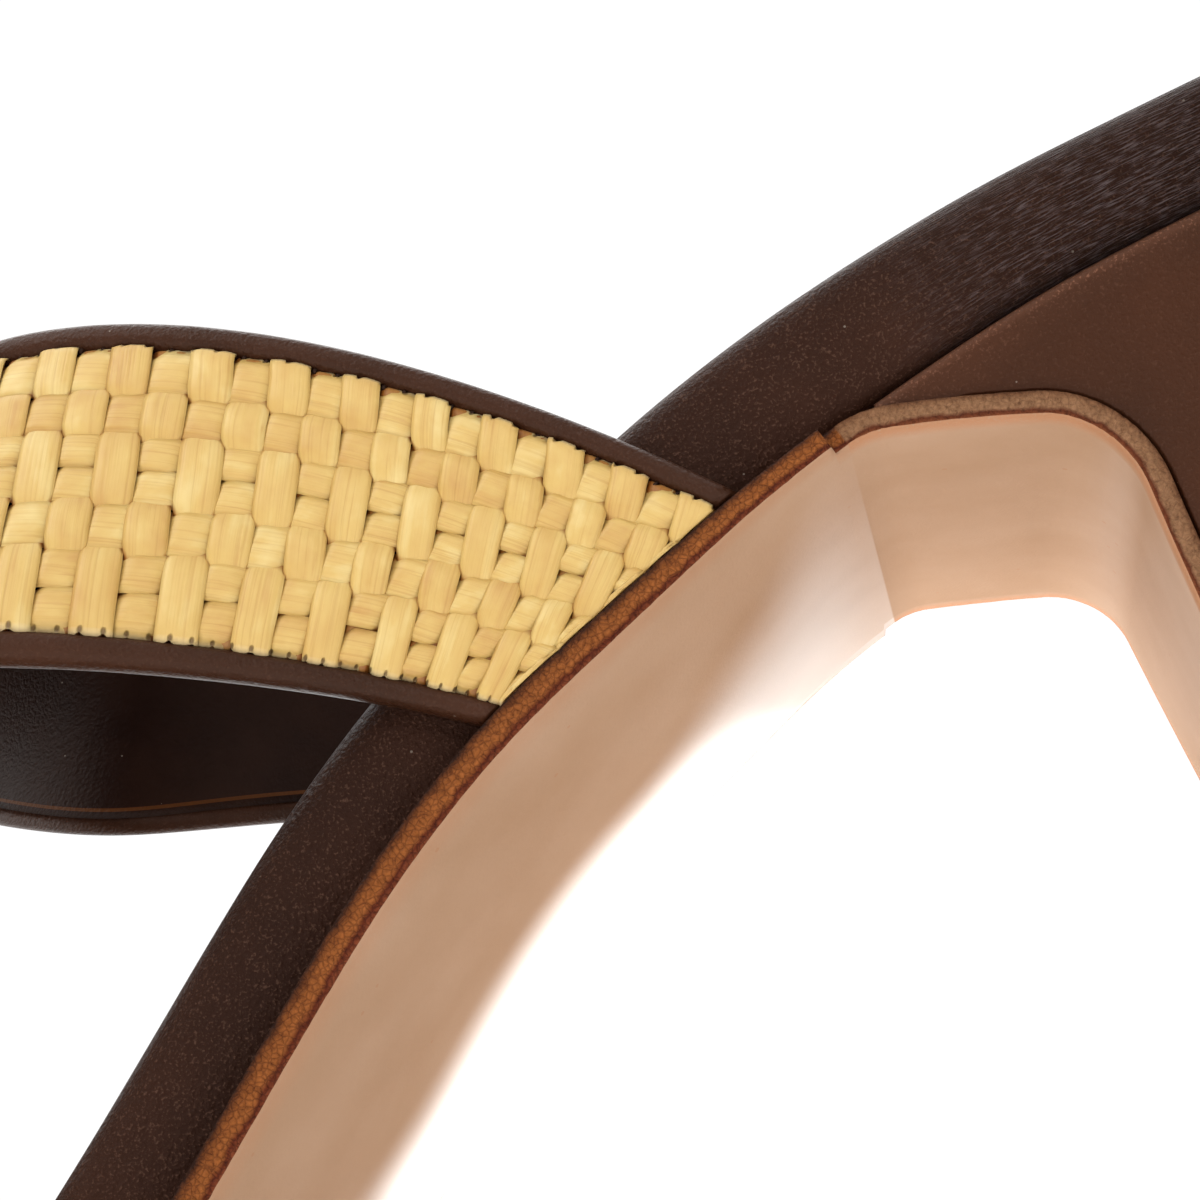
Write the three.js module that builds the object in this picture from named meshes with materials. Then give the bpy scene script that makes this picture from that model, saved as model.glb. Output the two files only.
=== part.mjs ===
import * as THREE from 'three';

// Straw sandal for the left foot: a high-heeled slide with two woven straps.
// Millimetres. +X points to the toe, +Y to the wearer's left (outer side of the foot), +Z up.
// Sole pieces are drawn flat as (along, across, height) and then bent on the side profile.

const SOLE_LENGTH = 248;
const HALF_BALL = 38.8;
const HEEL_ROUND = 26;
const TOE_ROUND = 46;
const TOE_FULLNESS = 2.2;
const GAP = 0.3;

const SEAT_THICKNESS = 9.6;
const FOOTBED_EDGE = 2.2;
const FOOTBED_BULGE = 0.5;
const SOCK_THICKNESS = 1.0;
const SOCK_INSET = 2.6;
const OUTSOLE_THICKNESS = 2.3;
const OUTSOLE_OVERHANG = 2.7;
const FLAP_THICKNESS = 1.7;
const SKIVE_RUN = 30;
const WAIST_CAMBER = 3.2;
const SEAT_DISH = 1.4;
const TOE_SWING = 9;

const CORNER_ALONG = 0.306 * SOLE_LENGTH;
const CORNER_BEND = 4;
const FLAP_DROP_SLOPE = -8;
const FLAP_RUN = 9.5;
const FLAP_RADIUS = 8.4;
const FLAP_WIDTH_SETBACK = 4;
const BREAST_SLOPE = -82;
const BREAST_END_SLOPE = -77;

const HEEL_GROW = 0.6;
const HEEL_TIP = 3.2;
const HEEL_BOTTOM_WIDTH = 36;
const HEEL_BACK_LEAN = 15;
const TOP_PIECE_HEIGHT = 6;

const STRAP_SETBACK = 18.8;
const STRAP_STANDOFF = 2.7;
const WEAVE_RISE = 0.45;
const WEAVE_WALL = 1.0;
const LINING_WALL = 0.7;
const LINING_GAP = 0.25;
const LINING_SHARE = 0.8;
const WEAVE_SHARE = 0.82;
const PIPING_SHARE = 0.918;
const PIPING_HALF_SHARE = 0.082;
const PIPING_HALF_THICKNESS = 1.2;

// Downhill slope of the sole toward the toe, in degrees, at shares of its length.
const SLOPES = [
  { along: 0.0, slope: 8.5 },
  { along: 0.2, slope: 11.0 },
  { along: 0.225, slope: 13.2 },
  { along: 0.25, slope: 16.6 },
  { along: 0.28, slope: 19.2 },
  { along: 0.306, slope: 21.6 },
  { along: 0.33, slope: 24.7 },
  { along: 0.355, slope: 28.0 },
  { along: 0.4, slope: 28.8 },
  { along: 0.435, slope: 36.0 },
  { along: 0.46, slope: 40.5 },
  { along: 0.5, slope: 46.0 },
  { along: 0.53, slope: 47.4 },
  { along: 0.583, slope: 47.5 },
  { along: 0.718, slope: 0.0 },
  { along: 0.815, slope: 0.0 },
  { along: 0.865, slope: -4.0 },
  { along: 1.0, slope: -11.0 },
];

// Half widths of the footbed as shares of the half ball width, before the ends are rounded.
const WIDTHS = [
  { along: 0.0, lateral: 0.683, medial: 0.67 },
  { along: 0.1, lateral: 0.683, medial: 0.67 },
  { along: 0.22, lateral: 0.67, medial: 0.657 },
  { along: 0.31, lateral: 0.654, medial: 0.644 },
  { along: 0.4, lateral: 0.678, medial: 0.66 },
  { along: 0.48, lateral: 0.704, medial: 0.676 },
  { along: 0.56, lateral: 0.735, medial: 0.715 },
  { along: 0.64, lateral: 0.825, medial: 0.806 },
  { along: 0.72, lateral: 0.948, medial: 0.938 },
  { along: 0.78, lateral: 1.0, medial: 0.995 },
  { along: 0.84, lateral: 0.98, medial: 1.0 },
  { along: 0.9, lateral: 0.907, medial: 0.96 },
  { along: 1.0, lateral: 0.773, medial: 0.876 },
];

// Thickness of the footbed, crown under the waist, hollow of the seat and inward swing of the
// toe, as shares of SEAT_THICKNESS, WAIST_CAMBER, SEAT_DISH and TOE_SWING.
const SECTIONS = [
  { along: 0.0, thickness: 0.92, camber: 0.0, dish: 0.4, swing: 0.0 },
  { along: 0.12, thickness: 0.92, camber: 0.0, dish: 1.0, swing: 0.0 },
  { along: 0.2, thickness: 0.93, camber: 0.0, dish: 0.9, swing: 0.0 },
  { along: 0.31, thickness: 1.0, camber: 0.0, dish: 0.5, swing: 0.0 },
  { along: 0.35, thickness: 0.99, camber: 0.4, dish: 0.4, swing: 0.0 },
  { along: 0.42, thickness: 0.83, camber: 1.0, dish: 0.1, swing: 0.0 },
  { along: 0.52, thickness: 0.8, camber: 1.0, dish: 0.0, swing: 0.0 },
  { along: 0.7, thickness: 0.8, camber: 0.0, dish: -0.4, swing: 0.12 },
  { along: 0.85, thickness: 0.8, camber: 0.0, dish: -0.3, swing: 0.5 },
  { along: 1.0, thickness: 0.8, camber: 0.0, dish: 0.0, swing: 1.0 },
];

// One row per strap: where it leaves the sole, its crest over the foot and the handles of its arc.
const STRAPS = {
  instep: {
    base: CORNER_ALONG + STRAP_SETBACK,
    halfBase: 11.2,
    crestForward: 59.6,
    crestUp: 19.6,
    crestSlope: 60,
    halfCrest: 10.7,
    leaveForward: 33.7,
    leaveIn: 1.1,
    leaveUp: 25.9,
    leaveForwardTaper: -8.8,
    leaveUpTaper: -12.4,
    crestHandle: 46,
    crestHandleTaper: 15.2,
    columns: 66,
    footGather: 1.8,
    crestGather: 0.4,
    rows: [46, 41, 67, 44, 73],
  },
  toe: {
    base: 0.8 * SOLE_LENGTH,
    halfBase: 13.2,
    crestForward: -3,
    crestUp: 37,
    crestSlope: 24,
    halfCrest: 12.6,
    leaveForward: -1,
    leaveIn: -3.6,
    leaveUp: 19,
    leaveForwardTaper: 0,
    leaveUpTaper: -1,
    crestHandle: 35,
    crestHandleTaper: -1,
    columns: 44,
    footGather: 0,
    crestGather: 0.5,
    rows: [52, 41, 67, 44, 60, 50],
  },
};

const PALETTE = {
  straw: { color: 0xe2c280, roughness: 0.6 },
  brownLeather: { color: 0x3c2822, roughness: 0.45 },
  lining: { color: 0x2a1a14, roughness: 0.5 },
  heelLeather: { color: 0x502d1a, roughness: 0.4 },
  soleLeather: { color: 0xbe9173, roughness: 0.5 },
  lift: { color: 0x1c1512, roughness: 0.7 },
};

const radians = (degrees) => (degrees * Math.PI) / 180;
const mix = (a, b, t) => a + (b - a) * t;
const clamp = (value, low, high) => Math.min(Math.max(value, low), high);

// Smooth reading of one column of a table with an "along" column.
function read(table, column, along) {
  const last = table.length - 1;
  const at = clamp(along, table[0].along, table[last].along);
  let i = 0;
  while (i < last - 1 && at > table[i + 1].along) {
    i += 1;
  }
  const here = table[i];
  const next = table[i + 1];
  const before = table[Math.max(i - 1, 0)];
  const after = table[Math.min(i + 2, last)];
  const span = next.along - here.along;
  const t = (at - here.along) / span;
  const rise = (next[column] - here[column]) / span;
  const riseBefore = i > 0 ? (here[column] - before[column]) / (here.along - before.along) : rise;
  const riseAfter = i + 2 <= last ? (after[column] - next[column]) / (after.along - next.along) : rise;
  const startRise = riseBefore * rise > 0 ? (2 * riseBefore * rise) / (riseBefore + rise) : 0;
  const endRise = riseAfter * rise > 0 ? (2 * riseAfter * rise) / (riseAfter + rise) : 0;
  const t2 = t * t;
  const t3 = t2 * t;
  const value = (2 * t3 - 3 * t2 + 1) * here[column] + (3 * t2 - 2 * t3) * next[column];
  return value + span * ((t3 - 2 * t2 + t) * startRise + (t3 - t2) * endRise);
}

// Side profile: the lower rim of the footbed, integrated from its slopes.
const STEP = 0.5;
function bendProfile() {
  const points = [{ x: 0, z: 0 }];
  const count = Math.round(SOLE_LENGTH / STEP);
  for (let i = 1; i <= count; i += 1) {
    const slope = radians(read(SLOPES, 'slope', (i - 0.5) / count));
    const previous = points[i - 1];
    points.push({ x: previous.x + STEP * Math.cos(slope), z: previous.z - STEP * Math.sin(slope) });
  }
  const flat = points[Math.round(0.76 * count)].z;
  return points.map((point) => ({ x: point.x, z: point.z - flat + OUTSOLE_THICKNESS + GAP }));
}
const PROFILE = bendProfile();

function soleFrame(along) {
  const inside = clamp(along, 0, SOLE_LENGTH);
  const cell = clamp(Math.floor(inside / STEP), 0, PROFILE.length - 2);
  const t = inside / STEP - cell;
  const slope = radians(read(SLOPES, 'slope', inside / SOLE_LENGTH));
  const beyond = along - inside;
  const x = mix(PROFILE[cell].x, PROFILE[cell + 1].x, t) + beyond * Math.cos(slope);
  const z = mix(PROFILE[cell].z, PROFILE[cell + 1].z, t) - beyond * Math.sin(slope);
  return { x, z, slope };
}

function bend(along, across, height) {
  const frame = soleFrame(along);
  const x = frame.x + height * Math.sin(frame.slope);
  const z = frame.z + height * Math.cos(frame.slope);
  const swing = TOE_SWING * read(SECTIONS, 'swing', along / SOLE_LENGTH);
  return [x, across - swing, z];
}

// Half width of the sole outline on one side, grown outward by a margin.
function halfWidth(along, side, grow) {
  const column = side > 0 ? 'lateral' : 'medial';
  const body = HALF_BALL * read(WIDTHS, column, along / SOLE_LENGTH) + grow;
  const fromHeel = clamp((HEEL_ROUND - along) / (HEEL_ROUND + grow), 0, 1);
  const fromToe = clamp((along - SOLE_LENGTH + TOE_ROUND) / (TOE_ROUND + grow), 0, 1);
  const heelRound = Math.sqrt(1 - fromHeel ** 2);
  const toeRound = (1 - fromToe ** TOE_FULLNESS) ** (1 / TOE_FULLNESS);
  return body * heelRound * toeRound;
}

function stations(grow, heelSteps, middleSteps, toeSteps) {
  const list = [];
  for (let i = 0; i < heelSteps; i += 1) {
    list.push(HEEL_ROUND - (HEEL_ROUND + grow) * Math.cos(radians((90 * i) / heelSteps)));
  }
  for (let i = 0; i < middleSteps; i += 1) {
    list.push(mix(HEEL_ROUND, SOLE_LENGTH - TOE_ROUND, i / middleSteps));
  }
  for (let i = 0; i <= toeSteps; i += 1) {
    list.push(SOLE_LENGTH - TOE_ROUND + (TOE_ROUND + grow) * Math.sin(radians((90 * i) / toeSteps)));
  }
  return list;
}

function camberAt(along, across, grow) {
  const half = Math.max(halfWidth(along, across, grow), 1);
  const share = clamp(Math.abs(across) / half, 0, 1);
  return WAIST_CAMBER * read(SECTIONS, 'camber', along / SOLE_LENGTH) * (1 - share ** 2);
}

function outsoleThickness(along) {
  const share = clamp((along - CORNER_ALONG) / SKIVE_RUN, 0, 1);
  return mix(FLAP_THICKNESS, OUTSOLE_THICKNESS, share * share * (3 - 2 * share));
}

function thicknessAt(along) {
  return SEAT_THICKNESS * read(SECTIONS, 'thickness', along / SOLE_LENGTH);
}

function footbedTop(along, across) {
  const half = Math.max(halfWidth(along, across, 0), 1);
  const share = clamp(Math.abs(across) / half, 0, 1);
  const dish = SEAT_DISH * read(SECTIONS, 'dish', along / SOLE_LENGTH) * (1 - share ** 2);
  return thicknessAt(along) - dish;
}

// Closed body from loops of points: neighbours are joined, the first and last loops are closed.
function closedBody(name, material, loops) {
  const positions = [];
  const indices = [];
  const known = new Map();
  const vertex = (point) => {
    const key = point.map((value) => Math.round(value * 2000)).join(',');
    if (!known.has(key)) {
      known.set(key, positions.length / 3);
      positions.push(...point);
    }
    return known.get(key);
  };
  const triangle = (a, b, c) => {
    const corners = [vertex(a), vertex(b), vertex(c)];
    if (new Set(corners).size === 3) {
      indices.push(...corners);
    }
  };
  const count = loops[0].length;
  for (let k = 0; k + 1 < loops.length; k += 1) {
    for (let i = 0; i < count; i += 1) {
      const j = (i + 1) % count;
      triangle(loops[k][i], loops[k][j], loops[k + 1][j]);
      triangle(loops[k][i], loops[k + 1][j], loops[k + 1][i]);
    }
  }
  const close = (loop, flip) => {
    for (let i = 0; i < count / 2 - 1; i += 1) {
      const corners = [loop[i], loop[i + 1], loop[count - 2 - i], loop[count - 1 - i]];
      const turned = flip ? corners.reverse() : corners;
      triangle(turned[0], turned[1], turned[2]);
      triangle(turned[0], turned[2], turned[3]);
    }
  };
  close(loops[0], true);
  close(loops[loops.length - 1], false);
  return finishMesh(name, material, positions, indices);
}

function finishMesh(name, material, positions, indices) {
  let volume = 0;
  for (let i = 0; i < indices.length; i += 3) {
    const a = new THREE.Vector3().fromArray(positions, 3 * indices[i]);
    const b = new THREE.Vector3().fromArray(positions, 3 * indices[i + 1]);
    const c = new THREE.Vector3().fromArray(positions, 3 * indices[i + 2]);
    volume += a.dot(b.cross(c));
  }
  const geometry = new THREE.BufferGeometry();
  geometry.setAttribute('position', new THREE.Float32BufferAttribute(positions, 3));
  geometry.setIndex(volume < 0 ? [...indices].reverse() : indices);
  geometry.computeVertexNormals();
  const { color, roughness } = PALETTE[material];
  const mesh = new THREE.Mesh(geometry, new THREE.MeshStandardMaterial({ color, roughness }));
  mesh.name = name;
  return mesh;
}

// Loop around the sole outline; lift gives each point its height, fill draws it to the middle line.
function soleLoop(grow, fill, lift) {
  const path = stations(grow, 6, 22, 8);
  const point = (along, side) => {
    const middle = clamp(along, HEEL_ROUND, SOLE_LENGTH - TOE_ROUND);
    const s = mix(along, middle, fill);
    const y = side * mix(halfWidth(along, side, grow), 0, fill);
    return bend(s, y, lift(s, y));
  };
  const lateral = path.map((along) => point(along, 1));
  const medial = path.map((along) => point(along, -1)).reverse();
  return [...lateral, ...medial];
}

function sockFloor(along, across) {
  return footbedTop(along, across) - SOCK_THICKNESS;
}

// Wrapped footbed, hollowed on top for the sock.
function footbed() {
  const bottom = (s, y) => -camberAt(s, y, OUTSOLE_OVERHANG);
  const loops = [
    soleLoop(-SOCK_INSET, 1, sockFloor),
    soleLoop(-SOCK_INSET, 0.5, sockFloor),
    soleLoop(-SOCK_INSET, 0, sockFloor),
    soleLoop(-FOOTBED_EDGE, 0, footbedTop),
    soleLoop(-0.35 * FOOTBED_EDGE, 0, (s, y) => footbedTop(s, y) - 0.25 * FOOTBED_EDGE),
    soleLoop(0, 0, (s) => thicknessAt(s) - FOOTBED_EDGE),
    soleLoop(0, 0, (s) => 0.35 * thicknessAt(s)),
    soleLoop(-FOOTBED_BULGE, 0, (s, y) => bottom(s, y)),
    soleLoop(-FOOTBED_BULGE, 0.3, bottom),
    soleLoop(-FOOTBED_BULGE, 0.65, bottom),
    soleLoop(-FOOTBED_BULGE, 1, bottom),
  ];
  return closedBody('footbed', 'brownLeather', loops);
}

function sock() {
  const under = (s, y) => sockFloor(s, y) + GAP;
  const over = (s, y) => under(s, y) + SOCK_THICKNESS;
  const edge = -SOCK_INSET - GAP;
  const loops = [
    soleLoop(edge, 1, over),
    soleLoop(edge, 0.5, over),
    soleLoop(edge, 0, over),
    soleLoop(edge, 0, under),
    soleLoop(edge, 0.5, under),
    soleLoop(edge, 1, under),
  ];
  return closedBody('insole_sock', 'lining', loops);
}

// Path of the leather that leaves the sole at the heel corner and runs down the heel breast.
function flapPath() {
  const start = soleFrame(CORNER_ALONG);
  const path = [];
  let x = start.x - GAP * Math.sin(start.slope);
  let z = start.z - GAP * Math.cos(start.slope);
  let slope = read(SLOPES, 'slope', CORNER_ALONG / SOLE_LENGTH);
  const walk = (length, endSlope, steps) => {
    const from = slope;
    for (let i = 0; i < steps; i += 1) {
      const turn = radians(mix(from, endSlope, (i + 0.5) / steps));
      x -= (length / steps) * Math.cos(turn);
      z += (length / steps) * Math.sin(turn);
      path.push({ x, z, slope: radians(mix(from, endSlope, (i + 1) / steps)) });
    }
    slope = endSlope;
  };
  path.push({ x, z, slope: start.slope });
  walk(CORNER_BEND, FLAP_DROP_SLOPE, 3);
  walk(FLAP_RUN, FLAP_DROP_SLOPE - 4, 3);
  walk(FLAP_RADIUS * radians(FLAP_DROP_SLOPE - BREAST_SLOPE), BREAST_SLOPE, 7);
  const endDip = FLAP_THICKNESS * Math.cos(radians(BREAST_END_SLOPE));
  const rest = z - TOP_PIECE_HEIGHT - GAP - endDip;
  walk(rest / Math.sin(radians(-0.5 * (BREAST_SLOPE + BREAST_END_SLOPE))), BREAST_END_SLOPE, 5);
  return path;
}

// How far down the heel a point is, 0 under the seat and 1 at the top piece.
function heelWidthShare(down) {
  const bottomShare = HEEL_BOTTOM_WIDTH / 2 / (HALF_BALL * WIDTHS[0].lateral + HEEL_GROW);
  return mix(1, bottomShare, 1 - (1 - clamp(down, 0, 1)) ** 1.8);
}

function heelBack(down) {
  return -HEEL_GROW + HEEL_BACK_LEAN * (1 - (1 - clamp(down, 0, 1)) ** 1.6);
}

function outsole() {
  const across = [-1, -0.7, -0.35, 0, 0.35, 0.7, 1];
  const section = (place, half, camber, thickness) => {
    const upper = across.map((share) => place(half(share), -camber(share)));
    const lower = across.map((share) => place(half(share), -camber(share) - thickness));
    return [...upper, ...lower.reverse()];
  };
  const flap = flapPath();
  const top = flap[0].z;
  const loops = flap.slice(1).map((at) => {
    const down = (top - at.z) / (top - TOP_PIECE_HEIGHT - GAP);
    const along = CORNER_ALONG - FLAP_WIDTH_SETBACK;
    const half = (share) => share * halfWidth(along, share, HEEL_GROW + 0.3) * heelWidthShare(down);
    const place = (y, height) => [
      at.x + height * Math.sin(at.slope),
      y,
      at.z + height * Math.cos(at.slope),
    ];
    return section(place, half, () => 0, FLAP_THICKNESS);
  }).reverse();
  const path = stations(OUTSOLE_OVERHANG, 6, 30, 9).filter((along) => along > CORNER_ALONG + 1.5);
  for (const along of [CORNER_ALONG, CORNER_ALONG + 1.2, ...path]) {
    const grow = along < CORNER_ALONG + 1 ? HEEL_GROW + 0.3 : OUTSOLE_OVERHANG;
    const half = (share) => share * Math.max(halfWidth(along, share, grow), 0.4);
    const camber = (share) => camberAt(along, half(share), OUTSOLE_OVERHANG);
    const place = (y, height) => bend(along, y, height - GAP);
    loops.push(section(place, half, camber, outsoleThickness(along)));
  }
  return closedBody('outsole', 'soleLeather', loops);
}

function heelShares() {
  return [0, 0.006, 0.025, 0.06, 0.11, 0.18, 0.27, 0.38, 0.52, 0.7, 0.86, 1];
}

function heelBlock() {
  const tip = CORNER_ALONG - HEEL_TIP;
  const bottom = TOP_PIECE_HEIGHT + GAP;
  const front = flapPath()
    .map((at) => ({ x: at.x - GAP * Math.sin(-at.slope), z: at.z + GAP * Math.cos(at.slope) }))
    .filter((at) => at.x < soleFrame(tip).x);
  front.push({ x: front[front.length - 1].x, z: bottom });
  const tipTop = bend(tip, 0, -GAP);
  const levels = [{ x: tipTop[0], z: tipTop[2] }, ...front.filter((at) => at.z >= bottom)];
  const loops = levels.map((level) => {
    const down = (tipTop[2] - level.z) / (tipTop[2] - bottom);
    const back = heelBack(down);
    const point = (share, side) => {
      const along = mix(-HEEL_GROW, tip, share);
      const seat = bend(along, 0, -GAP);
      const y = side * halfWidth(along, side, HEEL_GROW) * heelWidthShare(down);
      const seatBack = bend(-HEEL_GROW, 0, -GAP)[0];
      const rowShare = (seat[0] - seatBack) / (tipTop[0] - seatBack);
      const x = mix(seatBack + back + HEEL_GROW, level.x, rowShare);
      return [x, y, mix(seat[2], bottom, down)];
    };
    const lateral = heelShares().map((share) => point(share, 1));
    const medial = heelShares().map((share) => point(share, -1)).reverse();
    return [...lateral, ...medial];
  });
  return closedBody('heel_block', 'heelLeather', loops);
}

function topPiece() {
  const front = flapPath().pop().x + FLAP_THICKNESS;
  const tip = CORNER_ALONG - HEEL_TIP;
  const back = bend(-HEEL_GROW, 0, -GAP)[0] + heelBack(1) + HEEL_GROW;
  const ring = (z, inset) => {
    const point = (share, side) => {
      const along = mix(-HEEL_GROW, tip, share);
      const y = side * (halfWidth(along, side, HEEL_GROW) * heelWidthShare(1) - inset * (share > 0));
      return [mix(back + inset, front - inset, share), Math.abs(y) < 0.5 ? 0 : y, z];
    };
    const lateral = heelShares().map((share) => point(share, 1));
    const medial = heelShares().map((share) => point(share, -1)).reverse();
    return [...lateral, ...medial];
  };
  return closedBody('heel_top_piece', 'lift', [
    ring(0, 0.5),
    ring(0.8, 0),
    ring(TOP_PIECE_HEIGHT, 0),
  ]);
}

// Point of a strap: around 0 to 1 from the outer to the inner side of the foot,
// wide -1 to 1 from the heel edge to the toe edge, lift outward from the strip crests.
function strapSurface(strap, around, wide) {
  const side = around <= 0.5 ? 1 : -1;
  const t = around <= 0.5 ? 2 * around : 2 - 2 * around;
  const along = strap.base + wide * strap.halfBase;
  const foot = new THREE.Vector3(...bend(along, side * (halfWidth(along, side, 0) + STRAP_STANDOFF), 0));
  const middle = soleFrame(strap.base);
  const fall = radians(strap.crestSlope);
  const crest = new THREE.Vector3(
    middle.x + strap.crestForward + wide * strap.halfCrest * Math.cos(fall),
    bend(along, 0, 0)[1],
    middle.z + strap.crestUp - wide * strap.halfCrest * Math.sin(fall),
  );
  const leave = new THREE.Vector3(
    foot.x + strap.leaveForward + wide * strap.leaveForwardTaper,
    foot.y - side * strap.leaveIn,
    foot.z + strap.leaveUp + wide * strap.leaveUpTaper,
  );
  const arrive = crest.clone();
  arrive.y += side * (strap.crestHandle + wide * strap.crestHandleTaper);
  return new THREE.CubicBezierCurve3(foot, leave, arrive, crest).getPoint(t);
}

function strapPoint(strap, around, wide, lift) {
  const small = 0.002;
  const here = strapSurface(strap, around, wide);
  const low = clamp(around - small, 0, 1);
  const high = clamp(around + small, 0, 1);
  const run = strapSurface(strap, high, wide).sub(strapSurface(strap, low, wide));
  const breadth = strapSurface(strap, around, wide + small).sub(strapSurface(strap, around, wide - small));
  const outward = run.cross(breadth).normalize();
  return here.addScaledVector(outward, lift).toArray();
}

// Place round the strap of a share of its crosswise strips, which lie closer where the gathers say.
function stripPlace(strap, share) {
  const foot = strap.footGather / 6;
  const crest = strap.crestGather / 7;
  const target = 2 * Math.min(share, 1 - share) * (1 + foot + crest);
  let t = 2 * Math.min(share, 1 - share);
  for (let k = 0; k < 8; k += 1) {
    const rest = 1 - t;
    const passed = t + foot * (1 - rest ** 6) + crest * t ** 7;
    t = clamp(t - (passed - target) / (1 + 6 * foot * rest ** 5 + 7 * crest * t ** 6), 0, 1);
  }
  return share <= 0.5 ? 0.5 * t : 1 - 0.5 * t;
}

// Woven wall: strips run over and under each other, each showing as a ridged cell.
function wovenStrap(name, strap) {
  const positions = [];
  const indices = [];
  const vertex = (share, wide, lift) => {
    positions.push(...strapPoint(strap, stripPlace(strap, share), wide, lift));
    return positions.length / 3 - 1;
  };
  const total = strap.rows.reduce((sum, row) => sum + row, 0);
  const edges = [-WEAVE_SHARE];
  for (const row of strap.rows) {
    edges.push(edges[edges.length - 1] + (2 * WEAVE_SHARE * row) / total);
  }
  const columns = strap.columns;
  const grid = [];
  const back = [];
  for (let i = 0; i <= columns; i += 1) {
    grid.push(edges.map((wide) => vertex(i / columns, wide, -WEAVE_RISE)));
    const inner = -WEAVE_RISE - WEAVE_WALL;
    back.push([edges[0], edges[edges.length - 1]].map((wide) => vertex(i / columns, wide, inner)));
  }
  const quad = (a, b, c, d) => indices.push(a, b, c, a, c, d);
  const last = edges.length - 1;
  for (let i = 0; i < columns; i += 1) {
    for (let j = 0; j < last; j += 1) {
      const [a, b, c, d] = [grid[i][j], grid[i + 1][j], grid[i + 1][j + 1], grid[i][j + 1]];
      const crosswise = (i + j) % 2 === 0;
      const mid = (i + 0.5) / columns;
      const centre = mix(edges[j], edges[j + 1], 0.5);
      if (crosswise) {
        const near = vertex(mid, mix(edges[j], edges[j + 1], 0.22), 0);
        const far = vertex(mid, mix(edges[j], edges[j + 1], 0.78), 0);
        indices.push(a, b, near, c, d, far);
        quad(b, c, far, near);
        quad(d, a, near, far);
      } else {
        const near = vertex((i + 0.22) / columns, centre, -0.1);
        const far = vertex((i + 0.78) / columns, centre, -0.1);
        indices.push(d, a, near, b, c, far);
        quad(a, b, far, near);
        quad(c, d, near, far);
      }
    }
    quad(back[i][0], back[i][1], back[i + 1][1], back[i + 1][0]);
    quad(grid[i][0], back[i][0], back[i + 1][0], grid[i + 1][0]);
    quad(grid[i][last], grid[i + 1][last], back[i + 1][1], back[i][1]);
  }
  for (const [i, flip] of [[0, true], [columns, false]]) {
    const fan = [back[i][1], ...[...grid[i]].reverse(), back[i][0]];
    for (let k = 1; k + 1 < fan.length; k += 1) {
      indices.push(...(flip ? [fan[0], fan[k + 1], fan[k]] : [fan[0], fan[k], fan[k + 1]]));
    }
  }
  return finishMesh(name, 'straw', positions, indices);
}

function strapLining(name, strap) {
  const outer = -WEAVE_RISE - WEAVE_WALL - LINING_GAP;
  const loops = [];
  for (let i = 0; i <= 40; i += 1) {
    const corner = (wide, lift) => strapPoint(strap, i / 40, wide, lift);
    loops.push([
      corner(-LINING_SHARE, outer),
      corner(LINING_SHARE, outer),
      corner(LINING_SHARE, outer - LINING_WALL),
      corner(-LINING_SHARE, outer - LINING_WALL),
    ]);
  }
  return closedBody(name, 'lining', loops);
}

// Rolled leather binding along one edge of a strap.
function strapPiping(name, strap, edge) {
  const outerHalf = [[1, 0.42], [0.55, 1], [-0.55, 1], [-1, 0.42]];
  const innerHalf = outerHalf.map(([across, out]) => [-across, -out]);
  const soft = [...outerHalf, ...innerHalf];
  const loops = [];
  for (let i = 0; i <= 40; i += 1) {
    loops.push(soft.map(([across, out]) => {
      const wide = edge * PIPING_SHARE + across * PIPING_HALF_SHARE;
      return strapPoint(strap, i / 40, wide, PIPING_HALF_THICKNESS * (out - 1) - 0.02);
    }));
  }
  return closedBody(name, 'brownLeather', loops);
}

function standAtOrigin(group) {
  const box = new THREE.Box3().setFromObject(group);
  const middle = box.getCenter(new THREE.Vector3());
  for (const mesh of group.children) {
    mesh.geometry.translate(-middle.x, -middle.y, -box.min.z);
  }
  return group;
}

const sandal = new THREE.Group();
sandal.name = 'straw_sandal';
sandal.add(
  footbed(),
  sock(),
  outsole(),
  heelBlock(),
  topPiece(),
  wovenStrap('instep_strap', STRAPS.instep),
  strapLining('instep_strap_lining', STRAPS.instep),
  strapPiping('instep_strap_rear_piping', STRAPS.instep, -1),
  strapPiping('instep_strap_front_piping', STRAPS.instep, 1),
  wovenStrap('toe_strap', STRAPS.toe),
  strapLining('toe_strap_lining', STRAPS.toe),
  strapPiping('toe_strap_rear_piping', STRAPS.toe, -1),
  strapPiping('toe_strap_front_piping', STRAPS.toe, 1),
);

export default standAtOrigin(sandal);
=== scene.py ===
import math
import random

import bmesh
import bpy
from mathutils import Matrix, Vector, noise


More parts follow.
